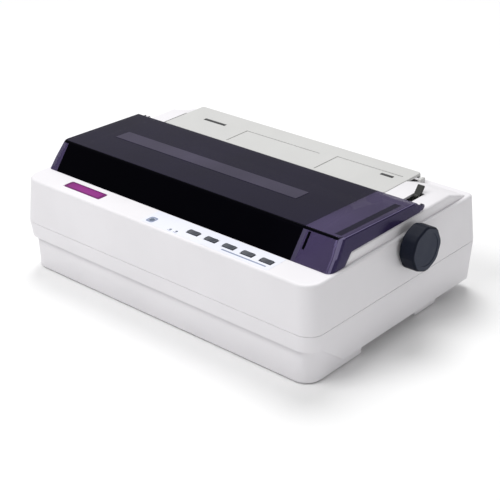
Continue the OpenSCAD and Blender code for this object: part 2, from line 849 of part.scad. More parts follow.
module reduction_gear() {
    color("ivory") difference() {
        union() {
            gear(gear_x, gear_w, reduction_at, small_teeth, reduction_phase);
            gear(big_gear_x, big_gear_w, reduction_at, big_teeth, 0);
            bar_x(big_gear_x + big_gear_w - 0.5, 2, reduction_at, 4.5);
        }
        bar_x(big_gear_x - 1, 20, reduction_at, stud_r + running);
        for (a = [0:60:300])
            bar_x(big_gear_x - 1, big_gear_w + 1.5, spot(reduction_at, a, 12), 3.4);
    }
}

module idler_gear() {
    color("ivory") difference() {
        gear(gear_x, gear_w, idler_at, idler_teeth, idler_phase);
        bar_x(gear_x - 1, gear_w + 2, idler_at, stud_r + running);
    }
}

// Studs riveted to the left frame, each with a collar behind its gear
module gear_studs() {
    color("silver") for (s = [[reduction_at, big_gear_x - 2], [idler_at, gear_x - 2]]) {
        bar_x(s[1], frame_left_x - s[1], s[0], stud_r);
        bar_x(gear_x + gear_w + slack, frame_left_x - gear_x - gear_w - slack, s[0], stud_r + 1.2);
    }
}

module feed_motor() {
    color("dimgray") difference() {
        union() {
            bar_x(frame_in_l, 28, motor_at, 21);
            bar_x(frame_left_x, frame_t + 1, motor_at, 5.8);
        }
        bar_x(frame_left_x - 1, 12, motor_at, stud_r + running);
    }
}

module feed_motor_pinion() {
    color("silver") {
        gear(big_gear_x, big_gear_w, motor_at, small_teeth, pinion_phase);
        bar_x(big_gear_x - 1, frame_left_x + 8 - big_gear_x, motor_at, stud_r);
    }
}

module tractor_gear() {
    color("ivory") difference() {
        gear(gear_x, gear_w, tractor_at, tractor_teeth, tractor_phase);
        bar_x(gear_x - 1, gear_w + 2, tractor_at, shaft_side / 2);
    }
}

// ---------- tractors ----------

module tractor_drive_shaft() {
    square_x = frame_in_l + 3;
    square_l = frame_in_r - 3 - square_x;
    color("silver") {
        bar_x(gear_x - 3, square_x - gear_x + 3, tractor_at, shaft_side / 2);
        along_x(square_x, square_l) translate(tractor_at) square(shaft_side, center = true);
        bar_x(square_x + square_l, frame_t + 5, tractor_at, shaft_side / 2);
    }
}

module tractor_rod() {
    length = frame_right_x + frame_t - frame_left_x;
    color("silver") bar_x(frame_left_x, length, tractor_rod_at, tractor_rod_r);
}

// A tractor's body with its door hinge on the side that hinge_x names
module tractor_body(x, hinge_x) {
    cheek_w = (tractor_w - pin_wheel_w) / 2 - slack;
    color("dimgray") difference() {
        union() {
            for (cheek = [x, x + tractor_w - cheek_w])
                along_x(cheek, cheek_w) link(tractor_at, tractor_rod_at, 10);
            bar_x(x, tractor_w, tractor_rod_at, 8);
            // ears of the door hinge
            for (y = [tractor_at[0] - 6, tractor_at[0] + 6.4])
                box([hinge_x - 1.8, y, door_z - 8], [hinge_x + 1.8, y + 3.6, door_z + 2]);
        }
        bar_x(x - 1, tractor_w + 2, tractor_at, shaft_side * 0.5 * sqrt(2) + 0.4);
        bar_x(x - 1, tractor_w + 2, tractor_rod_at, tractor_rod_r + running);
        // room for the pin wheel
        along_x(x + cheek_w, tractor_w - 2 * cheek_w) translate(tractor_at) circle(pin_wheel_r + pin_h + 0.6);
        translate([hinge_x, tractor_at[0] - 10, door_z + door_t / 2]) rotate([-90, 0, 0])
            cylinder(r = door_pin_r + running, h = 30);
    }
}

module tractor_left() { tractor_body(tractor_left_x, tractor_left_x + 0.9); }
module tractor_right() { tractor_body(tractor_right_x, tractor_right_x + tractor_w - 0.9); }

module pin_wheel(x) {
    wheel_x = x + (tractor_w - pin_wheel_w) / 2;
    color("white") difference() {
        union() {
            bar_x(wheel_x, pin_wheel_w, tractor_at, pin_wheel_r);
            for (a = [30:60:330])
                translate([wheel_x + pin_wheel_w / 2, tractor_at[0], tractor_at[1]]) rotate([a, 0, 0])
                    translate([0, 0, pin_wheel_r - 1]) cylinder(r1 = 1.8, r2 = 1, h = pin_h + 1);
        }
        along_x(wheel_x - 1, pin_wheel_w + 2) translate(tractor_at)
            square(shaft_side + 2 * slack, center = true);
    }
}

module pin_wheel_left() { pin_wheel(tractor_left_x); }
module pin_wheel_right() { pin_wheel(tractor_right_x); }

// A tractor's door: x0 and x1 are its edges, hinge_x the axis of its pin
module tractor_door(x0, x1, hinge_x, slot_x) {
    knuckle_y0 = tractor_at[0] - 2;
    knuckle_l = 8;
    color("gray") {
        difference() {
            box([x0, door_y0, door_z], [x1, door_y1, door_z + door_t]);
            // slot over the pins
            box([slot_x - 2.6, tractor_at[0] - 9, door_z - 1],
                [slot_x + 2.6, tractor_at[0] + 9, door_z + door_t + 1]);
            // room for the hinge ears
            for (y = [tractor_at[0] - 6.4, tractor_at[0] + 6])
                box([hinge_x - 2.2, y, door_z - 1], [hinge_x + 2.2, y + 4.4, door_z + 3]);
        }
        translate([hinge_x, knuckle_y0, door_z + door_t / 2]) rotate([-90, 0, 0])
            cylinder(r = door_t / 2, h = knuckle_l);
        translate([hinge_x, knuckle_y0 - 4, door_z + door_t / 2]) rotate([-90, 0, 0])
            cylinder(r = door_pin_r, h = knuckle_l + 8);
    }
}

module tractor_door_left() {
    x = tractor_left_x;
    tractor_door(x + 0.9, x + tractor_w, x + 0.9, x + tractor_w / 2);
}

module tractor_door_right() {
    x = tractor_right_x;
    tractor_door(x, x + tractor_w - 0.9, x + tractor_w - 0.9, x + tractor_w / 2);
}

// ---------- carriage ----------

module carriage_rod() {
    color("silver") bar_x(frame_left_x, frame_right_x + frame_t - frame_left_x, rod_at, carriage_rod_r);
}

module carriage_rail() {
    color("darkgray") {
        box([frame_in_l, rail_y, plate_top_z], [frame_in_r, rail_y + rail_t, rail_top_z]);
        box([frame_in_l, rail_y - 10, plate_top_z], [frame_in_r, rail_y, plate_top_z + rail_t]);
    }
}

module carriage() {
    x0 = home_x - carriage_w / 2;
    x1 = home_x + carriage_w / 2;
    clamp_x0 = home_x - clamp_w / 2;
    clamp_x1 = home_x + clamp_w / 2;
    span_y = belt_y + belt_r;
    color("black") difference() {
        union() {
            box([x0, carriage_front_y, carriage_bottom_z], [x1, carriage_rear_y, carriage_top_z]);
            box([x0 + 8, rail_y - 5, carriage_bottom_z], [x1 - 8, carriage_front_y, 71]);
            box([clamp_x0, span_y - 4, belt_z - 2], [clamp_x1, span_y + 4, carriage_bottom_z]);
        }
        bar_x(x0 - 1, carriage_w + 2, rod_at, carriage_rod_r + running);
        box([x0, rail_y - 0.4, carriage_bottom_z - 1], [x1, rail_y + rail_t + 0.4, rail_top_z + 0.5]);
        box([clamp_x0 - 1, span_y - belt_t / 2 - slack, belt_z - slack],
            [clamp_x1 + 1, span_y + belt_t / 2 + slack, belt_z + belt_w + slack]);
    }
}

module print_head() {
    x0 = home_x - head_w / 2;
    x1 = home_x + head_w / 2;
    body_y0 = rod_at[0] - 14;
    body_y1 = rod_at[0] + 6;
    fin_pitch = 4;
    color("dimgray") {
        box([x0 + 3, body_y0 + 3, head_z], [x1 - 3, body_y1, head_z + head_h - 2]);
        for (z = [head_z + 2:fin_pitch:head_z + head_h - 2])
            box([x0, body_y0, z], [x1, body_y1 + 2, z + 1.6]);
    }
    color("silver") {
        box([home_x - 7, body_y1, head_z], [home_x + 7, body_y1 + 8, platen_z + 5]);
        box([home_x - 3.5, body_y1 + 8, platen_z - 4], [home_x + 3.5, nose_tip_y, platen_z + 4]);
    }
}

// The belt's loop; grow widens it on both sides of its path
module belt_loop(grow) {
    link([drive_pulley_x, belt_y], [tension_pulley_x, belt_y], belt_r + grow);
}

module timing_belt() {
    color("black") translate([0, 0, belt_z]) linear_extrude(belt_w) difference() {
        belt_loop(belt_t / 2);
        belt_loop(-belt_t / 2);
    }
}

module pulley(x) {
    flange_t = 1.2;
    width = belt_w + 2 * slack + 2 * flange_t;
    bar_z(x, belt_y, belt_z - slack - flange_t, width, belt_r - belt_t / 2 - 0.05);
    for (z = [belt_z - slack - flange_t, belt_z + belt_w + slack])
        bar_z(x, belt_y, z, flange_t, flange_r);
}

motor_shaft_r = 2;

module drive_pulley() {
    color("silver") {
        pulley(drive_pulley_x);
        bar_z(drive_pulley_x, belt_y, plate_top_z + 20, belt_z - plate_top_z - 20, motor_shaft_r);
    }
}

module carriage_motor() {
    color("dimgray") difference() {
        union() {
            bar_z(drive_pulley_x, belt_y, plate_top_z, 27, 17);
            bar_z(drive_pulley_x, belt_y, plate_top_z + 26, 2.5, 6);
        }
        bar_z(drive_pulley_x, belt_y, plate_top_z + 19, 12, motor_shaft_r + running);
    }
}

module tension_bracket() {
    x = tension_pulley_x;
    color("lightgray") {
        box([x - 8, belt_y - 10, plate_top_z], [x + 8, belt_y + 10, plate_top_z + 2]);
        bar_z(x, belt_y, plate_top_z, belt_z - slack - 1.2 - 0.2 - plate_top_z, 5);
        bar_z(x, belt_y, plate_top_z, belt_z + belt_w - plate_top_z - 1, motor_shaft_r);
    }
}

module tension_pulley() {
    color("silver") difference() {
        pulley(tension_pulley_x);
        bar_z(tension_pulley_x, belt_y, belt_z - 3, belt_w + 2.4, motor_shaft_r + running);
    }
}

// ---------- ribbon ----------

module ribbon_cartridge() {
    z1 = cartridge_z + cartridge_h;
    arm_end_y = ribbon_y + slack;
    color("black") difference() {
        union() {
            translate([0, 0, cartridge_z]) linear_extrude(cartridge_h)
                round_rect(cartridge_x0, cartridge_x1, cartridge_y0, cartridge_y1, 5);
            for (x = [cartridge_x0, cartridge_x1 - cartridge_arm_w])
                box([x, cartridge_y1 - 8, cartridge_z],
                    [x + cartridge_arm_w, arm_end_y, ribbon_z + ribbon_h + 1]);
            // pegs that drop between the side frames
            for (s = [[frame_in_l, cartridge_x0 + 2], [cartridge_x1 - 2, frame_in_r]])
                bar_x(s[0], s[1] - s[0], [cartridge_y0 + 18, cartridge_z + 5], 3);
        }
        bar_z(ribbon_knob_x, ribbon_knob_y, z1 - 10, 11, stud_r + running);
        // slots that the ribbon runs in
        box([cartridge_x0 + 2, ribbon_y - ribbon_t, ribbon_z],
            [cartridge_x1 - 2, ribbon_y, ribbon_z + ribbon_h]);
    }
}

module ribbon() {
    color("darkslategray") box([cartridge_x0 + 3, ribbon_y - ribbon_t, ribbon_z],
        [cartridge_x1 - 3, ribbon_y, ribbon_z + ribbon_h]);
}

module ribbon_knob() {
    z = cartridge_z + cartridge_h;
    color("gray") {
        translate([0, 0, z + slack]) linear_extrude(5) difference() {
            translate([ribbon_knob_x, ribbon_knob_y]) circle(ribbon_knob_r);
            for (a = [0:45:315]) translate([ribbon_knob_x, ribbon_knob_y])
                translate(spot([0, 0], a, ribbon_knob_r + 0.7)) circle(1.6);
        }
        bar_z(ribbon_knob_x, ribbon_knob_y, z - 8, 9, stud_r);
    }
}

// ---------- paper bail ----------

bail_left_x = frame_in_l + bail_arm_gap;
bail_right_x = frame_in_r - bail_arm_gap - bail_arm_t;

module bail_arms() {
    color("gray") for (x = [bail_left_x, bail_right_x]) {
        difference() {
            along_x(x, bail_arm_t) link(bail_pivot, bail_at, 5);
            bar_x(x - 1, bail_arm_t + 2, bail_at, bail_rod_r);
        }
        pin_x = x == bail_left_x ? frame_left_x : x + 1;
        bar_x(pin_x, frame_t + bail_arm_gap + 2, bail_pivot, bail_pin_r);
    }
}

module bail_rod() {
    color("silver") bar_x(bail_left_x, bail_right_x + bail_arm_t - bail_left_x, bail_at, bail_rod_r);
}

module bail_rollers() {
    roller_l = 14;
    span = roller_x1 - roller_x0;
    color("black") for (share = [0.2, 0.5, 0.8]) difference() {
        bar_x(roller_x0 + span * share - roller_l / 2, roller_l, bail_at, bail_roller_r);
        bar_x(roller_x0 + span * share - roller_l / 2 - 1, roller_l + 2, bail_at, bail_rod_r + running);
    }
}

// ---------- electrical pieces ----------

module main_board() {
    x0 = frame_in_l + 38;
    x1 = frame_in_r - 8;
    y1 = frame_rear_y - 2;
    z = plate_top_z + 4;
    color("seagreen") difference() {
        box([x0, 146, z], [x1, y1, z + board_t]);
        bar_z(x0 + 5, 151, z - 1, board_t + 2, 1.6);
    }
    color("seagreen") for (x = [x0 + 12, x1 - 6]) for (y = [152, y1 - 6])
        bar_z(x, y, plate_top_z, 4, 3);
    color("black") {
        for (i = [0:3]) box([x0 + 26 + i * 44, 158, z + board_t], [x0 + 62 + i * 44, 172, z + board_t + 3.5]);
        for (i = [0:2]) box([x0 + 40 + i * 52, 186, z + board_t], [x0 + 60 + i * 52, 206, z + board_t + 4]);
    }
    color("darkslateblue") for (x = [196, 212], y = [188, 206])
        bar_z(x0 + x, y, z + board_t, 16, 6);
}

module transformer() {
    x0 = frame_right_x + 12;
    y0 = 170;
    color("dimgray") {
        box([x0, y0 + 9, plate_top_z], [x0 + 46, y0 + 43, plate_top_z + 42]);
        box([x0 + 5, y0, plate_top_z + 6], [x0 + 41, y0 + 52, plate_top_z + 36]);
    }
}

module power_inlet() {
    y0 = body_d - 18;
    y1 = body_d - 3.6;
    x1 = inlet_x + inlet_w;
    z1 = socket_z + socket_h;
    color("black") difference() {
        box([inlet_x, y0, socket_z], [x1, y1, z1]);
        box([inlet_x + 3, y1 - 12, socket_z + 3], [x1 - 3, y1 + 1, z1 - 3]);
    }
    color("silver") for (x = [-7, 0, 7])
        box([inlet_x + inlet_w / 2 + x - 1, y0 + 1, socket_z + 10],
            [inlet_x + inlet_w / 2 + x + 1, y1 - 3, socket_z + 14]);
}

module printer_port() {
    y0 = frame_rear_y - 2;
    y1 = body_d - 3.6;
    z_mid = socket_z + socket_h / 2;
    color("silver") difference() {
        box([port_x, y0, socket_z + 2], [port_x + port_w, y1, socket_z + socket_h - 2]);
        box([port_x + 5, y1 - 8, z_mid - 7.5], [port_x + port_w - 5, y1 + 1, z_mid + 7.5]);
    }
    color("black") box([port_x + 8, y0 + 1, z_mid - 1.5], [port_x + port_w - 8, y1 - 2, z_mid + 1.5]);
    // foot on the main board
    color("silver") box([port_x + 4, y0 - 6, plate_top_z + 4 + board_t],
        [port_x + port_w - 4, y0 + 2, socket_z + 8]);
}

module power_switch_housing() {
    y0 = switch_y - switch_l / 2;
    y1 = switch_y + switch_l / 2;
    z0 = switch_z - switch_w / 2;
    z1 = switch_z + switch_w / 2;
    color("black") difference() {
        union() {
            box([-1, y0 - 1.4, z0 - 1.4], [16, y1 + 1.4, z1 + 1.4]);
            box([-wall_swell + 0.6, y0 - 3, z0 - 3], [bezel_x, y1 + 3, z1 + 3]);
            box([bezel_x, y0 - 1.4, z0 - 1.4], [0, y1 + 1.4, z1 + 1.4]);
        }
        box([-10, y0, z0], [14, y1, z1]);
        bar_z(rocker_x, switch_y, z0 - 1.2, switch_w + 2.4, 1 + running);
    }
}

module power_switch_rocker() {
    half = switch_l / 2 - 1.2;
    color("gray") translate([rocker_x, switch_y, 0]) rotate([0, 0, -rocker_tilt]) {
        translate([0, 0, switch_z - switch_w / 2 + 0.4]) linear_extrude(switch_w - 0.8)
            polygon([[-7.6, -half], [-6.8, 0], [-7.6, half], [3, half - 2], [3, -half + 2]]);
        bar_z(0, 0, switch_z - switch_w / 2 - 1, switch_w + 2, 1);
    }
}

placed() lower_case();
placed() upper_case();
placed() smoked_cover();
placed() sheet_guide();
placed() release_lever();
placed() lever_rod();
placed() side_frame_left();
placed() side_frame_right();
placed() base_plate();
placed() platen_roller();
placed() platen_shaft();
placed() platen_gear();
placed() platen_knob();
placed() platen_bushes();
placed() reduction_gear();
placed() feed_motor();
placed() feed_motor_pinion();
placed() idler_gear();
placed() gear_studs();
placed() tractor_gear();
placed() tractor_drive_shaft();
placed() tractor_rod();
placed() tractor_left();
placed() tractor_right();
placed() pin_wheel_left();
placed() pin_wheel_right();
placed() tractor_door_left();
placed() tractor_door_right();
placed() paper_pan();
placed() carriage_rod();
placed() carriage_rail();
placed() carriage();
placed() print_head();
placed() timing_belt();
placed() drive_pulley();
placed() carriage_motor();
placed() tension_pulley();
placed() tension_bracket();
placed() ribbon_cartridge();
placed() ribbon();
placed() ribbon_knob();
placed() bail_arms();
placed() bail_rod();
placed() bail_rollers();
placed() main_board();
placed() transformer();
placed() power_inlet();
placed() power_switch_housing();
placed() power_switch_rocker();
placed() printer_port();
placed() control_board();
placed() button_1();
placed() button_2();
placed() button_3();
placed() button_4();
placed() button_5();
placed() indicator_lights();
placed() nameplate();
placed() rubber_feet();
placed() case_screws();
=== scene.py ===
"""Looks of the dot matrix printer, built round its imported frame.

Shapes are drawn in millimetres in the printer's own directions: x from the left top edge of the
case, y from its front top edge and z over the desk. place() turns such a point into the frame's metres.
"""

import json
import math

import bmesh
import bpy
from mathutils import Matrix, Vector


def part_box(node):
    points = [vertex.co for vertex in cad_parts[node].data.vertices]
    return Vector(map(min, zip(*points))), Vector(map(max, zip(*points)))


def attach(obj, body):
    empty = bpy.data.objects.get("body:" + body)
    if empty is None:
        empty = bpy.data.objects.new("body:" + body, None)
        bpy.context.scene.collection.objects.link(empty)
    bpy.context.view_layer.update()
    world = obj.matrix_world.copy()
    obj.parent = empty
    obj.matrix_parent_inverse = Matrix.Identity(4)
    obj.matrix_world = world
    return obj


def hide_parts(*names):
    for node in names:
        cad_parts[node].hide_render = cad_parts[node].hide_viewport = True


MM = 0.001

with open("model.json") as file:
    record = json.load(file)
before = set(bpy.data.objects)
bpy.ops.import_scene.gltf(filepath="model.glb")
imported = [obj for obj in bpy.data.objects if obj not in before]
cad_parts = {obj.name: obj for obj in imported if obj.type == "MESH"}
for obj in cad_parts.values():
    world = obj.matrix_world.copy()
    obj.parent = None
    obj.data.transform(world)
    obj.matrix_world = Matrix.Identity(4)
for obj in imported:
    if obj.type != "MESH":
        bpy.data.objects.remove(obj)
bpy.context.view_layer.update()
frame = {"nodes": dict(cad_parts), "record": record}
nodes = frame["nodes"]

# ---------- driving sizes, as in the part's source ----------

BODY_W = 400
BODY_D = 260
SHOULDER_Z = 105            # front deck
PARTING_Z = 55              # line between the two halves of the case
DECK_Z = 116                # rear deck and the rails beside the cover
WALL_SWELL = 4.4            # how far the walls stand out at the parting line
WALL = 2.5
FRONT_CORNER_R = 18
REAR_CORNER_R = 7
SKIRT_TOP_Z = 37.5
SKIRT_D = 77
SKIRT_IN = 2
SIDE_BOTTOM_Z = 10
FOOT_GAP = 1.5
RAIL_IN = 4
RAIL_W = 8
RAIL_FRONT_Y = 53
RAIL_SLOPE = 11
COVER_FRONT_Y = 31.3
COVER_REAR_Y = 178.4
COVER_H = 27.5
COVER_FALL = 4.5
COVER_WALL = 2.2
COVER_SIDE_IN = 3.6
COVER_TOP_IN = 6.5
REAR_DECK_Y = COVER_REAR_Y + 2.6
RIM_Y = BODY_D - 8
DECK_END_Y = RIM_Y - 30
BAY_X = (14, BODY_W - 50)
BAY_FRONT_Y = COVER_FRONT_Y + 6.7
PAPER_X = (26, BODY_W - 58)
BUTTON_Y = 16.4
BUTTON_W = 14.5
BUTTON_D = 7
LEVER_X = BODY_W - 33.5
LEVER_W = 7
SLACK = 0.3

LEVER_SLOT_Y = (184, 208)
KNOB_AT = (149, 92)         # y and z of the platen's shaft
KNOB_R = 23.3
KNOB_L = 17.6
KNOB_HOLE_R = 6
SWITCH_Y = (60.5, 83.5)     # power switch in the left wall
SWITCH_Z = (68.5, 83.5)
BEZEL = 1.5
PORT_X = (96, 160)          # holes in the rear wall
PORT_Z = (22, 42)
INLET_X = (BODY_W - 56, BODY_W - 28)
INLET_Z = (20, 44)
REAR_FOOT_IN = 4.5
REAR_FOOT_W = 30
REAR_FOOT_Y = (168, 204)
NAMEPLATE_X = (52, 108)
NAMEPLATE_Y = (10.5, 24.5)
NAMEPLATE_SUNK = 0.5
GUIDE_HUB_R = 3.3
GUIDE_PIN_R = 2
BUTTON_PITCH = 23.6
BUTTON_PROUD = 1.2
GUIDE_T = 3
LIGHT_MARKS = [(186, 12, 3), (216, 8.2, 1.4), (224, 8.6, 1.4)]     # x, y and radius
HINGE_Y = COVER_REAR_Y - 1.9
HINGE_Z = DECK_Z + 3.7
EAR_X = COVER_TOP_IN + SLACK + 0.8
EAR_W = 3.4
EAR_R = 2.8
LUG_R = 2.6
FAR = 1000                  # longer than anything here

# Sizes that only the looks need
TOP_EDGE_R = 2.6            # round edge of the front deck
GROOVE_R = 1.1              # round edges that make the groove between the two halves
STRIP_X = (44, 302)         # frosted strip on the cover
STRIP_Y = (96, 116)
PANEL_X = (177, 346)        # film on the front deck
PANEL_Y = (3.5, 30.6)
FILM_T = 0.15
SKIRT_WALL = 4
HOLLOW_D = 3.3              # depth of the hollow under the step, where the skirt leans in
HOLLOW_H = 9                # and its height
KNOB_SIDES = 8
KNOB_CORNER_R = 4.5
KNOB_RIM_R = 2.4

case_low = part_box("upper_case")[0]
ORIGIN = Vector((case_low.x + WALL_SWELL * MM, case_low.y + WALL_SWELL * MM, 0))


def place(x, y, z):
    """A point of the printer, in millimetres, as a place in the frame, in metres."""
    return ORIGIN + Vector((x, y, z)) * MM


# ---------- materials ----------

def node_of(tree, kind, at, **values):
    """Adds a shader node and sets its inputs by name."""
    made = tree.nodes.new(kind)
    made.location = at
    for name, value in values.items():
        made.inputs[name.replace("_", " ")].default_value = value
    return made


def start_material(name, **values):
    """An empty material with a Principled shader; returns it, its tree, the shader and the coordinates."""
    made = bpy.data.materials.new(name)
    made.use_nodes = True
    tree = made.node_tree
    shader = tree.nodes["Principled BSDF"]
    for key, value in values.items():
        shader.inputs[key.replace("_", " ")].default_value = value
    coords = node_of(tree, "ShaderNodeTexCoord", (-1100, 0))
    return made, tree, shader, coords.outputs["Object"]


def noise(tree, coords, scale, detail=3, stretch=None, at=(-800, 0)):
    """Noise of so many grains a metre; stretch squeezes it along x, y and z."""
    if stretch:
        mapping = node_of(tree, "ShaderNodeMapping", (at[0] - 180, at[1]), Scale=stretch)
        tree.links.new(coords, mapping.inputs["Vector"])
        coords = mapping.outputs["Vector"]
    made = node_of(tree, "ShaderNodeTexNoise", at, Scale=scale, Detail=detail)
    tree.links.new(coords, made.inputs["Vector"])
    return made.outputs["Fac"]


def shaded(colour, factor):
    return tuple(min(1, c * factor) for c in colour[:3]) + (1,)


def tint(tree, shader, fac, colour, spread):
    """The base colour drifts a little lighter and darker with the noise."""
    ramp = node_of(tree, "ShaderNodeValToRGB", (-500, 200))
    ramp.color_ramp.elements[0].position = 0.3
    ramp.color_ramp.elements[0].color = shaded(colour, 1 - spread)
    ramp.color_ramp.elements[1].position = 0.7
    ramp.color_ramp.elements[1].color = shaded(colour, 1 + spread)
    tree.links.new(fac, ramp.inputs["Fac"])
    tree.links.new(ramp.outputs["Color"], shader.inputs["Base Color"])


def gloss_range(tree, shader, fac, low, high):
    """Roughness drifts from low to high with the noise."""
    spread = node_of(tree, "ShaderNodeMapRange", (-500, -60))
    spread.inputs["From Min"].default_value = 0.3
    spread.inputs["From Max"].default_value = 0.7
    spread.inputs["To Min"].default_value = low
    spread.inputs["To Max"].default_value = high
    tree.links.new(fac, spread.inputs["Value"])
    tree.links.new(spread.outputs["Result"], shader.inputs["Roughness"])


def bump(tree, shader, fac, strength, depth):
    made = node_of(tree, "ShaderNodeBump", (-300, -300), Strength=strength, Distance=depth)
    tree.links.new(fac, made.inputs["Height"])
    tree.links.new(made.outputs["Normal"], shader.inputs["Normal"])


def plastic(name, colour, rough=(0.4, 0.5), grain=0.25, spread=0.02, **values):
    """Moulded plastic with a fine spark-eroded grain."""
    made, tree, shader, coords = start_material(name, **values)
    tint(tree, shader, noise(tree, coords, 14, 2, at=(-800, 300)), colour, spread)
    gloss_range(tree, shader, noise(tree, coords, 60, 2, at=(-800, 0)), *rough)
    if grain:
        bump(tree, shader, noise(tree, coords, 1600, 1, at=(-800, -300)), grain, 0.0001)
    return made


def metal(name, colour, rough=(0.25, 0.4), stretch=(0.05, 1, 1), scale=900, spread=0.06):
    """Drawn or rolled metal; the noise is long along the way it was drawn."""
    made, tree, shader, coords = start_material(name, Metallic=1.0)
    lines = noise(tree, coords, scale, 2, stretch, at=(-800, 0))
    tint(tree, shader, noise(tree, coords, 25, 2, at=(-800, 300)), colour, spread)
    gloss_range(tree, shader, lines, *rough)
    bump(tree, shader, lines, 0.15, 0.00005)
    return made


SMOKE_GLOSS = (0.60, 0.53, 1.0, 1)      # violet cast of the cover's reflections


def smoked(name, colour, alpha, rough, level):
    """Smoked clear plastic: a glossy skin with fine hairlines over a dark tint that lets light through."""
    made, tree, shader, coords = start_material(name, Alpha=alpha, Specular_Tint=SMOKE_GLOSS)
    shader.inputs["Specular IOR Level"].default_value = level
    tint(tree, shader, noise(tree, coords, 12, 3, at=(-800, 300)), colour, 0.18)
    gloss_range(tree, shader, noise(tree, coords, 30, 2, at=(-800, 0)), *rough)
    hairlines = noise(tree, coords, 900, 2, (0.03, 1, 1), at=(-800, -300))
    bump(tree, shader, hairlines, 0.12, 0.00003)
    return made


CASE_WHITE = plastic("case_white", (0.79, 0.775, 0.80), rough=(0.42, 0.5))
GUIDE_WHITE = plastic("guide_white", (0.57, 0.57, 0.56), rough=(0.42, 0.5))
BLACK = plastic("black_plastic", (0.018, 0.018, 0.02), rough=(0.4, 0.5))
# The knob's dark blue plastic, painted darker on its sides as shade; a lighter copy on its flat face is
# painted light.
KNOB_BLUE_AND_PAINTED_SHADE = plastic("knob_plastic", (0.005, 0.007, 0.016), rough=(0.5, 0.6), grain=0.35,
                    Specular_IOR_Level=0.12)
KNOB_FACE_PAINTED_LIGHT = plastic("knob_face_painted_light_plastic", (0.016, 0.022, 0.044), rough=(0.5, 0.6), grain=0.35,
                    Specular_IOR_Level=0.25)
GREY = plastic("grey_plastic", (0.22, 0.225, 0.24))
BUTTON_GREY = plastic("button_plastic", (0.048, 0.054, 0.070), rough=(0.35, 0.45), grain=0.15)
OLIVE = plastic("olive_plastic", (0.013, 0.014, 0.012), rough=(0.35, 0.45), Specular_IOR_Level=0.3)
IVORY = plastic("ivory_plastic", (0.78, 0.74, 0.62), rough=(0.35, 0.45), grain=0.1)
RUBBER = plastic("rubber", (0.02, 0.02, 0.022), rough=(0.7, 0.85), grain=0.5)
BOARD_GREEN = plastic("circuit_board", (0.03, 0.16, 0.07), rough=(0.25, 0.35), grain=0.0, spread=0.15)
NAMEPLATE_FILM = plastic("nameplate_film", (0.12, 0.004, 0.10), rough=(0.3, 0.36), grain=0.0, spread=0.35)
NAMEPLATE_PALE = plastic("nameplate_pale_film", (0.21, 0.015, 0.175), rough=(0.3, 0.36), grain=0.0,
                         spread=0.3)
PANEL_FILM = plastic("panel_film", (0.80, 0.815, 0.90), rough=(0.3, 0.36), grain=0.0)
PANEL_INK = plastic("panel_ink", (0.27, 0.31, 0.43), rough=(0.3, 0.36), grain=0.0)
LENS = plastic("light_lens", (0.12, 0.15, 0.21), rough=(0.15, 0.2), grain=0.0)
RIBBON_CLOTH = plastic("ribbon_fabric", (0.02, 0.02, 0.025), rough=(0.8, 0.9), grain=0.6)
MOTOR_PAINT = plastic("motor_paint", (0.03, 0.03, 0.034), rough=(0.3, 0.45), grain=0.2)
ZINC = metal("zinc_steel", (0.62, 0.62, 0.60), rough=(0.35, 0.5), stretch=(1, 1, 1), scale=70)
STEEL = metal("bright_steel", (0.70, 0.70, 0.71), rough=(0.18, 0.3))
ALUMINIUM = metal("aluminium", (0.55, 0.56, 0.58), rough=(0.4, 0.55), stretch=(1, 1, 1), scale=300)
SMOKE = smoked("smoked_plastic", (0.064, 0.048, 0.115), 0.7, (0.1, 0.16), 0.4)
# Near-black smoked plastic for the top where the cover is dark inside; the same material is painted shade
# in a band beside the top's right edge.
SMOKE_DARK_AND_PAINTED_SHADE = smoked("dark_smoked_plastic_and_painted_shade", (0.005, 0.003, 0.016), 0.97, (0.14, 0.2), 0.18)
# Painted shade: a darker, denser copy of the smoked plastic for the cover's side walls, which get less
# light.
SMOKE_SIDE_PAINTED_SHADE = smoked("smoked_side_painted_shade", (0.030, 0.021, 0.070), 0.9, (0.12, 0.18), 0.3)
# Painted highlight: a paler smoked strip down the left edge of the front window, where its rib catches
# light.
SMOKE_RIB_PAINTED_HIGHLIGHT = smoked("smoked_rib_painted_highlight", (0.050, 0.042, 0.078), 0.9, (0.2, 0.26), 0.5)
# Painted highlight: a paler copy of the smoked plastic for the cover's round corners and edges, where
# light catches them.
SMOKE_EDGE_PAINTED_HIGHLIGHT = smoked("smoked_edge_painted_highlight", (0.17, 0.15, 0.25), 0.9, (0.2, 0.26), 0.5)
SMOKE_STRIP = smoked("frosted_plastic", (0.048, 0.042, 0.068), 0.98, (0.3, 0.38), 0.2)
# Black behind the masked front; along the front rim, also above the clear window, the same black is a
# painted dark line of shade.
COVER_MASK_AND_PAINTED_SHADE = smoked("masked_plastic_and_painted_shade", (0.0005, 0.0005, 0.001), 1.0, (0.2, 0.25), 0.03)

SLOT_MATERIALS = {
    "white_plastic": CASE_WHITE,
    "smoked_plastic": SMOKE,
    "black_plastic": BLACK,
    "knob_plastic": KNOB_BLUE_AND_PAINTED_SHADE,
    "grey_plastic": GREY,
    "button_plastic": BUTTON_GREY,
    "olive_plastic": OLIVE,
    "ivory_plastic": IVORY,
    "light_lens": LENS,
    "nameplate_film": NAMEPLATE_FILM,
    "rubber": RUBBER,
    "zinc_steel": ZINC,
    "bright_steel": STEEL,
    "aluminium": ALUMINIUM,
    "motor_steel": MOTOR_PAINT,
    "circuit_board": BOARD_GREEN,
    "ribbon_fabric": RIBBON_CLOTH,
}


# ---------- mesh helpers: a bmesh is in the printer's millimetres until it is finished ----------

TO_FRAME = Matrix.Translation(ORIGIN) @ Matrix.Diagonal((MM, MM, MM, 1))


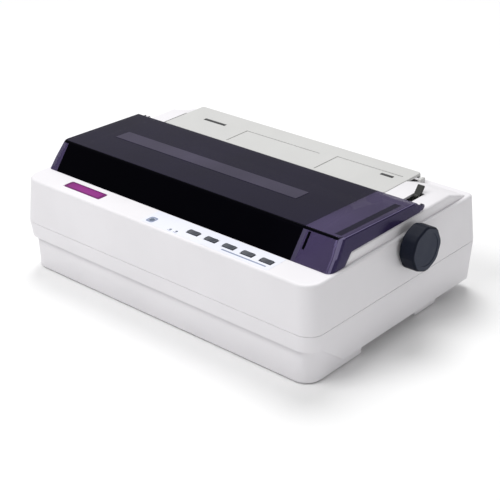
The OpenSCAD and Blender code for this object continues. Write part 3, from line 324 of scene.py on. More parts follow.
def finish_mesh(bm, name):
    """Makes an object of a bmesh: faces outwards, and moved from millimetres into the frame."""
    bmesh.ops.recalc_face_normals(bm, faces=bm.faces)
    bmesh.ops.transform(bm, matrix=TO_FRAME, verts=bm.verts)
    mesh = bpy.data.meshes.new(name)
    bm.to_mesh(mesh)
    bm.free()
    made = bpy.data.objects.new(name, mesh)
    bpy.context.scene.collection.objects.link(made)
    return made


def frustum(low, high):
    """A bmesh block between two level rectangles, each given as (x0, x1, y0, y1, z)."""
    bm = bmesh.new()
    bmesh.ops.create_cube(bm, size=2)
    for v in bm.verts:
        x0, x1, y0, y1, z = high if v.co.z > 0 else low
        v.co = (x1 if v.co.x > 0 else x0, y1 if v.co.y > 0 else y0, z)
    return bm


def round_edges(bm, r, chosen, segments=3):
    """Rounds the edges whose two ends pass the test chosen(a, b)."""
    picked = [e for e in bm.edges if chosen(e.verts[0].co, e.verts[1].co)]
    bmesh.ops.bevel(bm, geom=picked, offset=r, segments=segments, affect="EDGES",
                    profile=0.5, material=-1, clamp_overlap=True)


def upright(a, b):
    return abs(a.z - b.z) > 0.6 * (a - b).length


def at_height(z):
    return lambda a, b: abs(a.z - z) < 0.01 and abs(b.z - z) < 0.01


def round_all(bm, r, segments=2, angle=30):
    """Rounds each edge of a bmesh that is sharper than the angle."""
    bmesh.ops.recalc_face_normals(bm, faces=bm.faces)
    sharp = [e for e in bm.edges if e.is_manifold and e.calc_face_angle() > math.radians(angle)]
    bmesh.ops.bevel(bm, geom=sharp, offset=r, segments=segments, affect="EDGES",
                    profile=0.5, material=-1, clamp_overlap=True)


def block(name, low, high, r=0, segments=2):
    """A box from low to high, with its edges rounded."""
    bm = frustum((low[0], high[0], low[1], high[1], low[2]), (low[0], high[0], low[1], high[1], high[2]))
    if r:
        round_all(bm, r, segments)
    return finish_mesh(bm, name)


def plate(name, low, high, corner_r, edge_r=0.0):
    """A level plate with round corners, and with its top edge rounded."""
    bm = frustum((low[0], high[0], low[1], high[1], low[2]), (low[0], high[0], low[1], high[1], high[2]))
    round_edges(bm, corner_r, upright, 6)
    if edge_r:
        round_edges(bm, edge_r, at_height(high[2]), 3)
    return finish_mesh(bm, name)


AXIS_PLACES = {
    "x": lambda a, b: (0, a, b),
    "y": lambda a, b: (a, 0, b),
    "z": lambda a, b: (a, b, 0),
}


def prism(name, axis, flat, low, high, r=0, segments=2):
    """A flat outline pushed along x, y or z; flat holds the other two coordinates of its corners."""
    along = Vector([float(letter == axis) for letter in "xyz"])
    bm = bmesh.new()
    corners = [bm.verts.new(Vector(AXIS_PLACES[axis](*p)) + along * low) for p in flat]
    face = bm.faces.new(corners)
    pushed = bmesh.ops.extrude_face_region(bm, geom=[face])["geom"]
    moved = [g for g in pushed if isinstance(g, bmesh.types.BMVert)]
    bmesh.ops.translate(bm, vec=along * (high - low), verts=moved)
    if r:
        round_all(bm, r, segments)
    return finish_mesh(bm, name)


def cylinder(axis, centre, r, low, high, segments=48):
    """A bmesh cylinder along x, y or z; centre holds the other two coordinates."""
    along = Vector([float(letter == axis) for letter in "xyz"])
    middle = Vector(AXIS_PLACES[axis](*centre)) + along * (low + high) / 2
    turn = Vector((0, 0, 1)).rotation_difference(along).to_matrix().to_4x4()
    bm = bmesh.new()
    bmesh.ops.create_cone(bm, cap_ends=True, segments=segments, radius1=r, radius2=r,
                          depth=high - low, matrix=Matrix.Translation(middle) @ turn)
    return bm


def rod(name, axis, centre, r, low, high, segments=48, edge_r=0):
    bm = cylinder(axis, centre, r, low, high, segments)
    if edge_r:
        round_all(bm, edge_r, 2, 60)
    return finish_mesh(bm, name)


def carve(target, operation, *tools):
    """Cuts the tools out of target, or adds them to it, and clears the tools away."""
    for tool in tools:
        modifier = target.modifiers.new("carve", "BOOLEAN")
        modifier.operation = operation
        modifier.solver = "EXACT"
        modifier.object = tool
        shaped = bpy.data.meshes.new_from_object(
            target.evaluated_get(bpy.context.evaluated_depsgraph_get()))
        target.modifiers.clear()
        target.data = shaped
        bpy.data.objects.remove(tool)
    return target


def cut(target, *tools):
    return carve(target, "DIFFERENCE", *tools)


def add(target, *tools):
    return carve(target, "UNION", *tools)


def soften(obj, width, segments=2, angle=35, loose=False, flat_walls=False):
    """Live modifiers that merge flat faces and round the sharp edges, in millimetres.

    loose is for a CAD node, whose triangles are joined first; flat_walls keeps the shading of
    large walls even right up to their round edges."""
    if loose:
        joined = obj.modifiers.new("join_triangles", "WELD")
        joined.merge_threshold = 0.002 * MM
    merge = obj.modifiers.new("merge_flats", "DECIMATE")
    merge.decimate_type = "DISSOLVE"
    merge.angle_limit = math.radians(0.5)
    merge.delimit = {"MATERIAL"}
    rounding = obj.modifiers.new("round_edges", "BEVEL")
    rounding.width = width * MM
    rounding.segments = segments
    rounding.limit_method = "ANGLE"
    rounding.angle_limit = math.radians(angle)
    rounding.harden_normals = flat_walls
    for polygon in obj.data.polygons:
        polygon.use_smooth = True
    if not flat_walls:
        weighted = obj.modifiers.new("even_shading", "WEIGHTED_NORMAL")
        weighted.keep_sharp = True
    return obj


def dress(obj, material, body, *stands_for):
    """Gives a finished piece its material and the body it rides on."""
    obj.data.materials.clear()
    obj.data.materials.append(material)
    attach(obj, body)
    if stands_for:
        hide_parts(*stands_for)
    return obj


# ---------- upper half of the case ----------

def case_level(z, out):
    """One level of the case; out is how far it stands out at the sides, front and rear."""
    side, front, rear = out
    return (-side, BODY_W + side, -front, BODY_D + rear, z)


def case_block(low_z, low_out, high_z, high_out):
    """A block of the case with its four upright corners rounded."""
    bm = frustum(case_level(low_z, low_out), case_level(high_z, high_out))
    round_edges(bm, FRONT_CORNER_R, lambda a, b: upright(a, b) and a.y < BODY_D / 2, 8)
    round_edges(bm, REAR_CORNER_R, lambda a, b: upright(a, b) and a.y > BODY_D / 2, 6)
    return bm


def upper_outside():
    bm = case_block(PARTING_Z, (WALL_SWELL, WALL_SWELL, 0), SHOULDER_Z, (0, 0, 0))
    round_edges(bm, TOP_EDGE_R, at_height(SHOULDER_Z), 5)
    round_edges(bm, GROOVE_R, at_height(PARTING_Z), 2)
    return finish_mesh(bm, "case_top")


def inside_upper():
    inset = (-WALL, -WALL, -WALL)
    swollen = (WALL_SWELL - WALL, WALL_SWELL - WALL, -WALL)
    return finish_mesh(case_block(PARTING_Z - 1, swollen, SHOULDER_Z - WALL, inset), "inside")


def rail_block():
    profile = [(RAIL_FRONT_Y, SHOULDER_Z - 6), (RAIL_FRONT_Y, SHOULDER_Z - 0.2),
               (RAIL_FRONT_Y + RAIL_SLOPE, DECK_Z), (DECK_END_Y, DECK_Z),
               (RIM_Y, SHOULDER_Z), (RIM_Y, SHOULDER_Z - 6)]
    return prism("rails", "x", profile, RAIL_IN, BODY_W - RAIL_IN, r=2.5, segments=4)


def button_x(i):
    """Middle of button i, counted from 1 at the left."""
    return BODY_W - 66 - (5 - i) * BUTTON_PITCH


def button_cut(i, low_z, high_z, gap):
    x = button_x(i)
    return block("button_cut", (x - BUTTON_W / 2 - gap, BUTTON_Y - BUTTON_D / 2 - gap, low_z),
                 (x + BUTTON_W / 2 + gap, BUTTON_Y + BUTTON_D / 2 + gap, high_z))


def panel_cuts(low_z, high_z, gap):
    """Tools that open the deck, or the film on it, at the buttons and the lights."""
    buttons = [button_cut(i, low_z, high_z, gap) for i in range(1, 6)]
    lights = [rod("light_cut", "z", (x, y), r + gap - SLACK, low_z, high_z, 24)
              for x, y, r in LIGHT_MARKS]
    return buttons + lights


def side_cuts():
    return [
        rod("knob_hole", "x", KNOB_AT, KNOB_HOLE_R, BODY_W - 10, BODY_W + 10),
        block("switch_hole", (-10, SWITCH_Y[0], SWITCH_Z[0]), (10, SWITCH_Y[1], SWITCH_Z[1])),
        block("bezel_seat", (-12, SWITCH_Y[0] - BEZEL, SWITCH_Z[0] - BEZEL),
              (-2.4, SWITCH_Y[1] + BEZEL, SWITCH_Z[1] + BEZEL)),
        block("lever_slot", (LEVER_X - 1.5, LEVER_SLOT_Y[0], DECK_Z - 5),
              (LEVER_X + LEVER_W + 1.5, LEVER_SLOT_Y[1], DECK_Z + 5)),
    ]


def hinge_ears():
    """The two ears that hold the cover's pins: a round head on a foot."""
    ears = []
    for x in (EAR_X, BODY_W - EAR_X - EAR_W):
        foot = block("ear", (x, HINGE_Y - EAR_R, DECK_Z - 1), (x + EAR_W, HINGE_Y + EAR_R, HINGE_Z))
        ears.append(add(foot, rod("ear_head", "x", (HINGE_Y, HINGE_Z), EAR_R, x, x + EAR_W)))
    return ears


def case_top():
    top = add(upper_outside(), rail_block())
    deck_hollow = prism("deck_hollow", "x", [
        (REAR_DECK_Y + WALL, PARTING_Z - 1), (REAR_DECK_Y + WALL, DECK_Z - WALL),
        (DECK_END_Y - 1, DECK_Z - WALL), (RIM_Y - 1, SHOULDER_Z - WALL), (RIM_Y - 1, PARTING_Z - 1)],
        RAIL_IN + WALL, BODY_W - RAIL_IN - WALL)
    cover_seat = block("cover_seat", (RAIL_IN + RAIL_W, COVER_FRONT_Y, SHOULDER_Z),
                       (BODY_W - RAIL_IN - RAIL_W, REAR_DECK_Y, DECK_Z + 9))
    bay = block("bay", (BAY_X[0], BAY_FRONT_Y, PARTING_Z - 2), (BAY_X[1], REAR_DECK_Y + 1, DECK_Z + 8))
    paper = block("paper", (PAPER_X[0], REAR_DECK_Y - 1, PARTING_Z - 3), (PAPER_X[1], RIM_Y, DECK_Z + 7))
    plate_seat = block("seat", (NAMEPLATE_X[0], NAMEPLATE_Y[0], SHOULDER_Z - NAMEPLATE_SUNK),
                       (NAMEPLATE_X[1], NAMEPLATE_Y[1], SHOULDER_Z + 5))
    cut(top, inside_upper(), deck_hollow, cover_seat, bay, paper, plate_seat)
    cut(top, *panel_cuts(SHOULDER_Z - 5, SHOULDER_Z + 5, SLACK), *side_cuts())
    add(top, *hinge_ears())
    soften(top, 0.5)
    return dress(top, CASE_WHITE, "case", "upper_case")


# ---------- lower half of the case ----------

def lower_outside():
    bm = case_block(SIDE_BOTTOM_Z, (1, 1, -3), PARTING_Z, (WALL_SWELL, WALL_SWELL, 0))
    round_edges(bm, 2, at_height(SIDE_BOTTOM_Z), 3)
    round_edges(bm, GROOVE_R, at_height(PARTING_Z), 2)
    return finish_mesh(bm, "case_bottom")


def skirt(low_z, high_z, inset, edge_r=0.0):
    """The block under the front of the case, which stands on the front feet."""
    level = (SKIRT_IN + inset, BODY_W - SKIRT_IN - inset, inset - 1, SKIRT_D - inset)
    bm = frustum(level + (low_z,), level + (high_z,))
    round_edges(bm, FRONT_CORNER_R - inset, lambda a, b: upright(a, b) and a.y < SKIRT_D / 2, 8)
    if edge_r:
        round_edges(bm, edge_r, at_height(low_z), 3)
    return finish_mesh(bm, "skirt")


def step_hollow():
    """The hollow under the step, where the skirt's front leans in; it runs out at the round corners."""
    low_z = SKIRT_TOP_Z - HOLLOW_H
    wedge = [(-10, low_z), (-1, low_z), (HOLLOW_D - 1, SKIRT_TOP_Z), (-10, SKIRT_TOP_Z)]
    return prism("hollow", "x", wedge, 0, BODY_W)


def case_bottom():
    floor_z = SIDE_BOTTOM_Z + WALL
    shell = lower_outside()
    inner = finish_mesh(case_block(floor_z, (1 - WALL, -2, -3 - WALL), PARTING_Z + 1,
                                   (WALL_SWELL - WALL, WALL_SWELL - WALL, -WALL)), "inside")
    recess = [(-20, -1), (-20, SKIRT_TOP_Z), (12, SKIRT_TOP_Z), (50, SIDE_BOTTOM_Z - 2), (50, -1)]
    ledge = [(-20, SKIRT_TOP_Z), (12, SKIRT_TOP_Z), (50, SIDE_BOTTOM_Z - 2),
             (54, SIDE_BOTTOM_Z - 2), (14, SKIRT_TOP_Z + WALL), (-20, SKIRT_TOP_Z + WALL)]
    cut(inner, prism("ledge", "x", ledge, -FAR / 2, FAR / 2))
    cut(shell, inner, prism("recess", "x", recess, -FAR / 2, FAR / 2))
    add(shell, skirt(FOOT_GAP, SKIRT_TOP_Z + WALL, 0, 1.5))
    for x in (REAR_FOOT_IN, BODY_W - REAR_FOOT_IN - REAR_FOOT_W):
        add(shell, block("rear_foot", (x, REAR_FOOT_Y[0], FOOT_GAP),
                         (x + REAR_FOOT_W, REAR_FOOT_Y[1], floor_z), r=1.5))
    cut(shell, step_hollow(), skirt(FOOT_GAP + WALL, PARTING_Z + 5, SKIRT_WALL),
        block("behind_skirt", (SKIRT_IN + WALL, SKIRT_D - WALL - 2, floor_z),
              (BODY_W - SKIRT_IN - WALL, SKIRT_D + 1, PARTING_Z + 5)))
    for (x0, x1), (z0, z1) in ((PORT_X, PORT_Z), (INLET_X, INLET_Z)):
        cut(shell, block("rear_hole", (x0, BODY_D - 12, z0), (x1, BODY_D + 2, z1)))
    soften(shell, 0.5, flat_walls=True)
    return dress(shell, CASE_WHITE, "case", "lower_case")


# ---------- cover ----------

FOOT_Z = SHOULDER_Z + 0.2
FRONT_LEAN = 21.4           # how far the front face leans back over its height
REAR_LEAN = 12.6            # and the rear face, between the rails and the top
REAR_FACE_H = COVER_H - COVER_FALL - 11.5
COVER_CORNER_R = 6
FRONT_SLANT = FRONT_LEAN / (COVER_H - 0.2)
FRONT_NORMAL_Z = math.sin(math.atan(FRONT_SLANT))
REAR_SLANT = REAR_LEAN / REAR_FACE_H
TOP_FRONT = Vector((0, COVER_FRONT_Y + FRONT_LEAN, SHOULDER_Z + COVER_H))
TOP_REAR = Vector((0, COVER_REAR_Y - REAR_LEAN, SHOULDER_Z + COVER_H - COVER_FALL))


def cover_side(z):
    """How far the cover's side wall stands in from the case's edge at height z."""
    low = COVER_SIDE_IN - 0.6
    if z < DECK_Z:
        return low + 0.6 * (z - SHOULDER_Z) / (DECK_Z - SHOULDER_Z)
    top_z = SHOULDER_Z + COVER_H + 1
    return COVER_SIDE_IN + (COVER_TOP_IN - COVER_SIDE_IN) * (z - DECK_Z) / (top_z - DECK_Z)


def front_face(z):
    return COVER_FRONT_Y + FRONT_SLANT * (z - FOOT_Z)


def rear_face(z):
    return COVER_REAR_Y - REAR_SLANT * (z - DECK_Z - 0.5)


def cover_level(z, inset):
    side = cover_side(z) + inset
    return (side, BODY_W - side, front_face(z) + inset * 1.25, rear_face(z) - inset * 1.3, z - inset)


def cover_block(name, inset, rim_r):
    """The hood as a solid; inset is 0 for its outside and the wall for its inside."""
    high_z = SHOULDER_Z + COVER_H + 2
    bm = frustum(cover_level(FOOT_Z, inset), cover_level(DECK_Z, inset))
    lid = [f for f in bm.faces if f.calc_center_median().z > DECK_Z - inset - 0.01]
    raised = bmesh.ops.extrude_face_region(bm, geom=lid)["geom"]
    bmesh.ops.delete(bm, geom=lid, context="FACES_ONLY")
    x0, x1, y0, y1, z = cover_level(high_z, inset)
    for v in raised:
        if isinstance(v, bmesh.types.BMVert):
            v.co = (x1 if v.co.x > BODY_W / 2 else x0, y1 if v.co.y > BODY_D / 2 else y0, z)
    round_edges(bm, COVER_CORNER_R - inset, lambda a, b: upright(a, b) and a.y < BODY_D / 2, 8)
    slope = Vector((0, TOP_FRONT.z - TOP_REAR.z, TOP_REAR.y - TOP_FRONT.y)).normalized()
    top_point = TOP_FRONT - Vector((0, 0, inset))
    halves = bmesh.ops.bisect_plane(bm, geom=bm.verts[:] + bm.edges[:] + bm.faces[:], dist=1e-5,
                                    plane_co=top_point, plane_no=slope, clear_outer=True)
    rim = [g for g in halves["geom_cut"] if isinstance(g, bmesh.types.BMEdge)]
    bmesh.ops.contextual_create(bm, geom=rim)
    on_top = lambda a, b: all(abs((p - top_point).dot(slope)) < 0.01 for p in (a, b))
    round_edges(bm, rim_r, on_top, 5)
    return finish_mesh(bm, name)


def cover_lug(flip):
    """The rounded rear corner of a side wall, which turns about the hinge pin."""
    outer_x, inner_x = COVER_SIDE_IN + 1.2, COVER_SIDE_IN + 3.0
    low, high = (BODY_W - inner_x, BODY_W - outer_x) if flip else (outer_x, inner_x)
    top_z = SHOULDER_Z + COVER_H - COVER_FALL - 3.2
    front_y = HINGE_Y - 8
    flat = [(front_y, DECK_Z + 0.5), (HINGE_Y, DECK_Z + 0.5), (HINGE_Y + LUG_R, HINGE_Z), (front_y, top_z)]
    lug = prism("lug", "x", flat, low, high)
    return add(lug, rod("lug_eye", "x", (HINGE_Y, HINGE_Z), LUG_R, low, high))


def split_faces(obj, planes):
    """Cuts an object's faces along planes, so that two materials can meet there."""
    bm = bmesh.new()
    bm.from_mesh(obj.data)
    for point, normal in planes:
        bmesh.ops.bisect_plane(bm, geom=bm.verts[:] + bm.edges[:] + bm.faces[:],
                               dist=1e-7, plane_co=place(*point), plane_no=normal)
    bm.to_mesh(obj.data)
    bm.free()


# Where one material of the cover ends and the next starts, from left to right; some of them are painted
# highlight and painted shade
MASK_X = (17.5, 349.5)
RIB_X = (349.5, 354)
SLOT_X = (356.3, 359.3)
SLOT_Z = (116, 130)
# Where a band of painted shade lies on the clear top, beside its right edge
SHADE_BAND_X = (BODY_W - 19, BODY_W - 11.5)
SHADE_BAND_Y = (58, 150)

# The cover's real finishes, and the smoked copies that are painted highlight and painted shade
COVER_MATERIALS_AND_PAINTED_LIGHT = [SMOKE, SMOKE_DARK_AND_PAINTED_SHADE, COVER_MASK_AND_PAINTED_SHADE, SMOKE_RIB_PAINTED_HIGHLIGHT, SMOKE_SIDE_PAINTED_SHADE, SMOKE_EDGE_PAINTED_HIGHLIGHT]


def cover_material_and_painted_light(middle, normal):
    """Which material a face of the cover takes: its real finishes, painted highlight on round corners and
    at the window's left edge, and painted shade on the side walls, the front rim and a band by the top's
    right edge.
    """
    x, y, z = middle
    faces_ahead = normal.y < 0 and abs(normal.x) < 0.3
    on_front = faces_ahead and normal.y < -0.4
    on_top = normal.z > 0.9
    on_front_rim = faces_ahead and FRONT_NORMAL_Z + 0.04 < normal.z < 0.985
    on_corner = 0.4 < abs(normal.x) < 0.75 and (0.3 < normal.z < 0.9 or normal.y < -0.3)
    # The front rim is black over its whole length, also above the clear window, as painted shade.
    if on_front_rim:
        return COVER_MASK_AND_PAINTED_SHADE
    # The round corners and edges take the paler smoked copy, a painted highlight.
    if on_corner:
        return SMOKE_EDGE_PAINTED_HIGHLIGHT
    if on_front and MASK_X[0] < x < MASK_X[1]:
        return COVER_MASK_AND_PAINTED_SHADE
    # The strip at the window's left edge is paler, a painted highlight.
    if on_front and RIB_X[0] < x < RIB_X[1]:
        return SMOKE_RIB_PAINTED_HIGHLIGHT
    if on_front and SLOT_X[0] < x < SLOT_X[1] and SLOT_Z[0] < z < SLOT_Z[1]:
        return COVER_MASK_AND_PAINTED_SHADE
    if on_top and x < RIB_X[0]:
        return SMOKE_DARK_AND_PAINTED_SHADE
    # The band beside the right edge is painted shade.
    if on_top and SHADE_BAND_X[0] < x < SHADE_BAND_X[1] and SHADE_BAND_Y[0] < y < SHADE_BAND_Y[1]:
        return SMOKE_DARK_AND_PAINTED_SHADE
    # Side walls take the darker smoked copy, painted shade.
    if abs(normal.x) > 0.5:
        return SMOKE_SIDE_PAINTED_SHADE
    return SMOKE


def cover_shell():
    hood = cover_block("cover_shell", 0, 2.4)
    below = [(RAIL_FRONT_Y - 0.6, FOOT_Z), (RAIL_FRONT_Y + RAIL_SLOPE - 0.6, DECK_Z + 0.5),
             (COVER_REAR_Y + 40, DECK_Z + 0.5), (COVER_REAR_Y + 40, SHOULDER_Z - 10),
             (RAIL_FRONT_Y - 0.6, SHOULDER_Z - 10)]
    cut(hood, cover_block("cover_inside", COVER_WALL, 1), prism("below", "x", below, -5, BODY_W + 5))
    corner_w = RAIL_IN + RAIL_W + 1
    for x in (0, BODY_W - corner_w):
        cut(hood, block("corner", (x, HINGE_Y - 6, SHOULDER_Z), (x + corner_w, BODY_D, DECK_Z + COVER_H)))
    add(hood, cover_lug(False), cover_lug(True))
    borders = [((x, 0, 0), (1, 0, 0)) for x in MASK_X + RIB_X[1:] + SLOT_X + SHADE_BAND_X]
    borders += [((0, 0, z), (0, 0, 1)) for z in SLOT_Z]
    borders += [((0, y, 0), (0, 1, 0)) for y in SHADE_BAND_Y]
    split_faces(hood, borders)
    dress(hood, SMOKE, "cover", "smoked_cover")
    for material in COVER_MATERIALS_AND_PAINTED_LIGHT[1:]:
        hood.data.materials.append(material)
    for face in hood.data.polygons:
        face_material = cover_material_and_painted_light((face.center - ORIGIN) / MM, face.normal)
        face.material_index = COVER_MATERIALS_AND_PAINTED_LIGHT.index(face_material)
    return soften(hood, 0.35, 2, 40)


def cover_strip():
    """The raised frosted strip along the top."""
    rise = (TOP_REAR.z - TOP_FRONT.z) / (TOP_REAR.y - TOP_FRONT.y)
    flat = []
    for y, lift in ((STRIP_Y[0], -0.4), (STRIP_Y[0], 0.4), (STRIP_Y[1], 0.4), (STRIP_Y[1], -0.4)):
        flat.append((y, TOP_FRONT.z + rise * (y - TOP_FRONT.y) + lift))
    strip = prism("cover_strip", "x", flat, *STRIP_X, r=0.25)
    soften(strip, 0.05, 1)
    return dress(strip, SMOKE_STRIP, "cover")


# ---------- rear sheet guide ----------

def guide_rest():
    """The small block on the case that the guide's right rear corner lies beside."""
    rest = block("guide_rest", (PAPER_X[1] + 0.4, RIM_Y - 11, SHOULDER_Z - 1),
                 (PAPER_X[1] + 4.5, RIM_Y - 2, DECK_Z - 4), r=1.2)
    return dress(rest, GUIDE_WHITE, "case")


def sheet_guide():
    x0, x1 = PAPER_X[0] + 1, PAPER_X[1] - 1
    y0, y1 = REAR_DECK_Y + 5, RIM_Y - 2
    under_z = DECK_Z - GUIDE_T
    guide = plate("sheet_guide_plate", (x0, y0, under_z), (x1, y1, DECK_Z), 3, 0.8)
    lip = block("lip", (x0 + 1, y1 - 3, DECK_Z - 6), (x1 - 1, y1, under_z + 1))
    pin_y, pin_z = y0 + 3.4, under_z - 0.6
    pivots = []
    hubs = [(x0, x0 + 6, GUIDE_HUB_R), (x1 - 6, x1, GUIDE_HUB_R)]
    pins = [(x0 - 5.4, x0 + 3, GUIDE_PIN_R), (x1 - 3, x1 + 5.4, GUIDE_PIN_R)]
    for start, end, r in hubs + pins:
        pivots.append(rod("pivot", "x", (pin_y, pin_z), r, start, end, 32))
    add(guide, lip, *pivots)
    cut(guide,
        block("slot", (57, y1 - 31, DECK_Z - 8), (90, y1 - 26, DECK_Z + 1)),
        block("slot", (x1 - 32, y1 - 29, DECK_Z - 8), (x1 - 16, y1 - 25, DECK_Z + 1)),
        block("recess", (120, y0 + 4, DECK_Z - 0.8), (226, y1 - 25, DECK_Z + 1)),
        block("recess", (246, y0 + 4, DECK_Z - 0.8), (x1 - 8, y1 - 20, DECK_Z + 1)))
    soften(guide, 0.35)
    # Painted shade: black blocks sit just under the surface in the two slots, so that the slots look dark
    # as shaded openings do.
    slot_shades = [
        ("guide_slot_painted_shade_left", (57.1, y1 - 30.9), (89.9, y1 - 26.1)),
        ("guide_slot_painted_shade_right", (x1 - 31.9, y1 - 28.9), (x1 - 16.1, y1 - 25.1)),
    ]
    for name, low, high in slot_shades:
        slot_shade = block(name, low + (under_z - 0.9,), high + (DECK_Z - 0.4,), r=0.2)
        dress(slot_shade, BLACK, "guide")
    return dress(guide, GUIDE_WHITE, "guide", "sheet_guide")


# ---------- knob, buttons, panel and nameplate ----------

KNOB_X = BODY_W + WALL_SWELL * (SHOULDER_Z - KNOB_AT[1]) / (SHOULDER_Z - PARTING_Z) + 2.3


def paper_knob():
    """A knob with eight soft sides, a plain collar behind and a shallow dish in its face."""
    corner_to_middle = KNOB_R / math.cos(math.pi / KNOB_SIDES) - 1
    bm = cylinder("x", KNOB_AT, corner_to_middle, KNOB_X + 1.5, KNOB_X + KNOB_L, KNOB_SIDES)
    round_edges(bm, KNOB_CORNER_R, lambda a, b: abs(a.x - b.x) > 1, 8)
    round_edges(bm, KNOB_RIM_R, lambda a, b: min(a.x, b.x) > KNOB_X + KNOB_L - 0.01, 5)
    knob = finish_mesh(bm, "feed_knob")
    collar = rod("collar", "x", KNOB_AT, KNOB_R - 2.4, KNOB_X, KNOB_X + 3, 64)
    dish = rod("dish", "x", KNOB_AT, KNOB_R - 6.5, KNOB_X + KNOB_L - 0.4, KNOB_X + KNOB_L + 2, 64)
    add(knob, collar)
    cut(knob, dish, rod("bore", "x", KNOB_AT, 4, KNOB_X - 2, KNOB_X + KNOB_L - 4, 48))
    soften(knob, 0.3, 2, 40)
    dress(knob, KNOB_BLUE_AND_PAINTED_SHADE, "platen", "platen_knob")
    # The flat face takes the lighter copy as painted light, the sides the darker one as painted shade.
    knob.data.materials.append(KNOB_FACE_PAINTED_LIGHT)
    for face in knob.data.polygons:
        face.material_index = int(face.normal.x > 0.9)
    return knob


def button_cap(i):
    """A push button whose top is slightly hollow from left to right."""
    x = button_x(i)
    foot_z, top_z = SHOULDER_Z - 9.5, SHOULDER_Z + BUTTON_PROUD
    cap = plate("button_cap_%d" % i, (x - BUTTON_W / 2, BUTTON_Y - BUTTON_D / 2, foot_z),
                (x + BUTTON_W / 2, BUTTON_Y + BUTTON_D / 2, top_z), 2, 0.6)
    cut(cap, rod("hollow", "y", (x, top_z + 40 - 0.35), 40, BUTTON_Y - 10, BUTTON_Y + 10, 128))
    soften(cap, 0.2)
    return dress(cap, BUTTON_GREY, "button_%d" % i, "button_%d" % i)


def control_panel():
    """The printed film on the front deck, open at the buttons and lights, and its printed line."""
    top_z = SHOULDER_Z + FILM_T
    film = plate("panel_film", (PANEL_X[0], PANEL_Y[0], SHOULDER_Z + 0.01),
                 (PANEL_X[1], PANEL_Y[1], top_z), 2)
    cut(film, *panel_cuts(SHOULDER_Z - 2, SHOULDER_Z + 3, SLACK + 0.2))
    dress(film, PANEL_FILM, "case")
    marks = [
        ("panel_line", (284, 7.2), (340, 9.2)),
        ("panel_tick_1", (213.5, 5.4), (218.5, 6.2)),
        ("panel_tick_2", (221.5, 5.4), (226.5, 6.2)),
    ]
    for name, low, high in marks:
        mark = plate(name, low + (top_z - 0.02,), high + (top_z + 0.04,), 0.3)
        dress(mark, PANEL_INK, "case")
    x, y, r = LIGHT_MARKS[0]
    patch = plate("panel_patch", (x - 5, y - 5.5, top_z - 0.02), (x + 5, y + 5.5, top_z + 0.04), 3)
    cut(patch, rod("patch_hole", "z", (x, y), r + 0.2, SHOULDER_Z - 2, SHOULDER_Z + 3))
    dress(patch, PANEL_INK, "case")
    return film


def name_film():
    """A plain coloured plate with a paler panel in its middle."""
    (x0, x1), (y0, y1) = NAMEPLATE_X, NAMEPLATE_Y
    film = plate("plain_nameplate", (x0 + 0.2, y0 + 0.2, SHOULDER_Z - NAMEPLATE_SUNK),
                 (x1 - 0.2, y1 - 0.2, SHOULDER_Z + 0.2), 3.5, 0.15)
    panel = plate("nameplate_panel", (x0 + 4, y0 + 2.5, SHOULDER_Z + 0.15),
                  (x1 - 4, y1 - 2.5, SHOULDER_Z + 0.25), 2)
    dress(panel, NAMEPLATE_PALE, "case")
    return dress(film, NAMEPLATE_FILM, "case", "nameplate")


case_top()
case_bottom()
cover_shell()
cover_strip()
sheet_guide()
guide_rest()
paper_knob()
for number in range(1, 6):
    button_cap(number)
control_panel()
name_film()

# ---------- every other CAD node gets its slot's material and softened edges ----------

EDGE_ROUNDING = {
    "zinc_steel": 0.2,
    "bright_steel": 0.25,
    "black_plastic": 0.5,
    "grey_plastic": 0.4,
    "olive_plastic": 0.7,
    "ivory_plastic": 0.15,
    "aluminium": 0.3,
    "motor_steel": 0.5,
    "rubber": 0.4,
    "circuit_board": 0.1,
    "light_lens": 0.3,
    "ribbon_fabric": 0.05,
}
SLOT_OF = {entry["node"]: entry["material_slot"] for entry in frame["record"]["subparts"]}
STOOD_FOR = {"upper_case", "lower_case", "smoked_cover", "sheet_guide", "platen_knob", "nameplate",
             "button_1", "button_2", "button_3", "button_4", "button_5"}
for name, obj in nodes.items():
    obj.data.materials.clear()
    obj.data.materials.append(SLOT_MATERIALS[SLOT_OF[name]])
    if name not in STOOD_FOR:
        soften(obj, EDGE_ROUNDING[SLOT_OF[name]], 2, 40, loose=True)

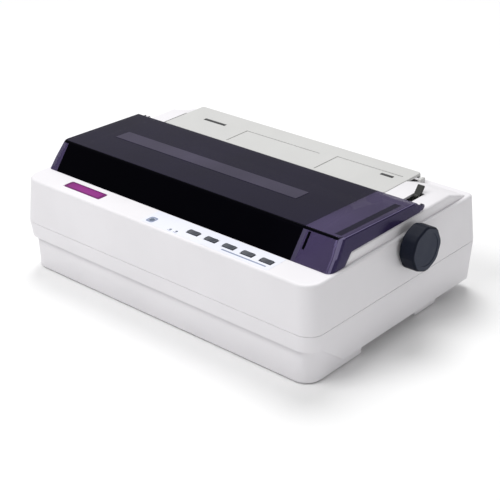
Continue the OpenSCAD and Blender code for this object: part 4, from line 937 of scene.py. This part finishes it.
# ---------- floor, camera and light ----------

floor_bm = bmesh.new()
bmesh.ops.create_grid(floor_bm, x_segments=1, y_segments=1, size=6 / MM)
bmesh.ops.translate(floor_bm, vec=-ORIGIN / MM, verts=floor_bm.verts)
floor = finish_mesh(floor_bm, "floor")
floor_mat, floor_tree, floor_shader, floor_coords = start_material("floor_white")
floor_shader.inputs["Specular IOR Level"].default_value = 0.1
tint(floor_tree, floor_shader, noise(floor_tree, floor_coords, 3, 2), (0.93, 0.93, 0.93), 0.005)
gloss_range(floor_tree, floor_shader, noise(floor_tree, floor_coords, 20, 2), 0.85, 0.95)
floor.data.materials.append(floor_mat)

camera_data = bpy.data.cameras.new("camera")
camera_data.sensor_width = 36
camera_data.lens = 92.6
camera = bpy.data.objects.new("camera", camera_data)
bpy.context.scene.collection.objects.link(camera)
camera.matrix_world = (Matrix.Translation(place(1042.3, -761.4, 656.0)) @ Matrix.Rotation(0.7530, 4, "Z")
                       @ Matrix.Rotation(1.0977, 4, "X") @ Matrix.Rotation(-0.0350, 4, "Z"))
bpy.context.scene.camera = camera


def lamp(name, at, size, watts):
    """A round soft light at a place in metres, aimed at the middle of the printer."""
    light = bpy.data.lights.new(name, "AREA")
    light.shape = "DISK"
    light.size = size
    light.energy = watts
    made = bpy.data.objects.new(name, light)
    bpy.context.scene.collection.objects.link(made)
    aim = Vector((0, 0, 0.05)) - Vector(at)
    made.matrix_world = Matrix.Translation(at) @ aim.to_track_quat("-Z", "Y").to_matrix().to_4x4()
    return made


lamp("front", (-0.3, -0.9, 1.4), 1.0, 12.6)
lamp("right_fill", (1.6, -0.1, 0.35), 1.2, 2.1)
lamp("background", (-0.7, 0.95, 2.4), 1.5, 40)

world = bpy.data.worlds.new("studio")
bpy.context.scene.world = world
world.use_nodes = True
world.node_tree.nodes["Background"].inputs["Color"].default_value = (1, 1, 1, 1)
world.node_tree.nodes["Background"].inputs["Strength"].default_value = 0.38
bpy.context.scene.view_settings.view_transform = "Standard"
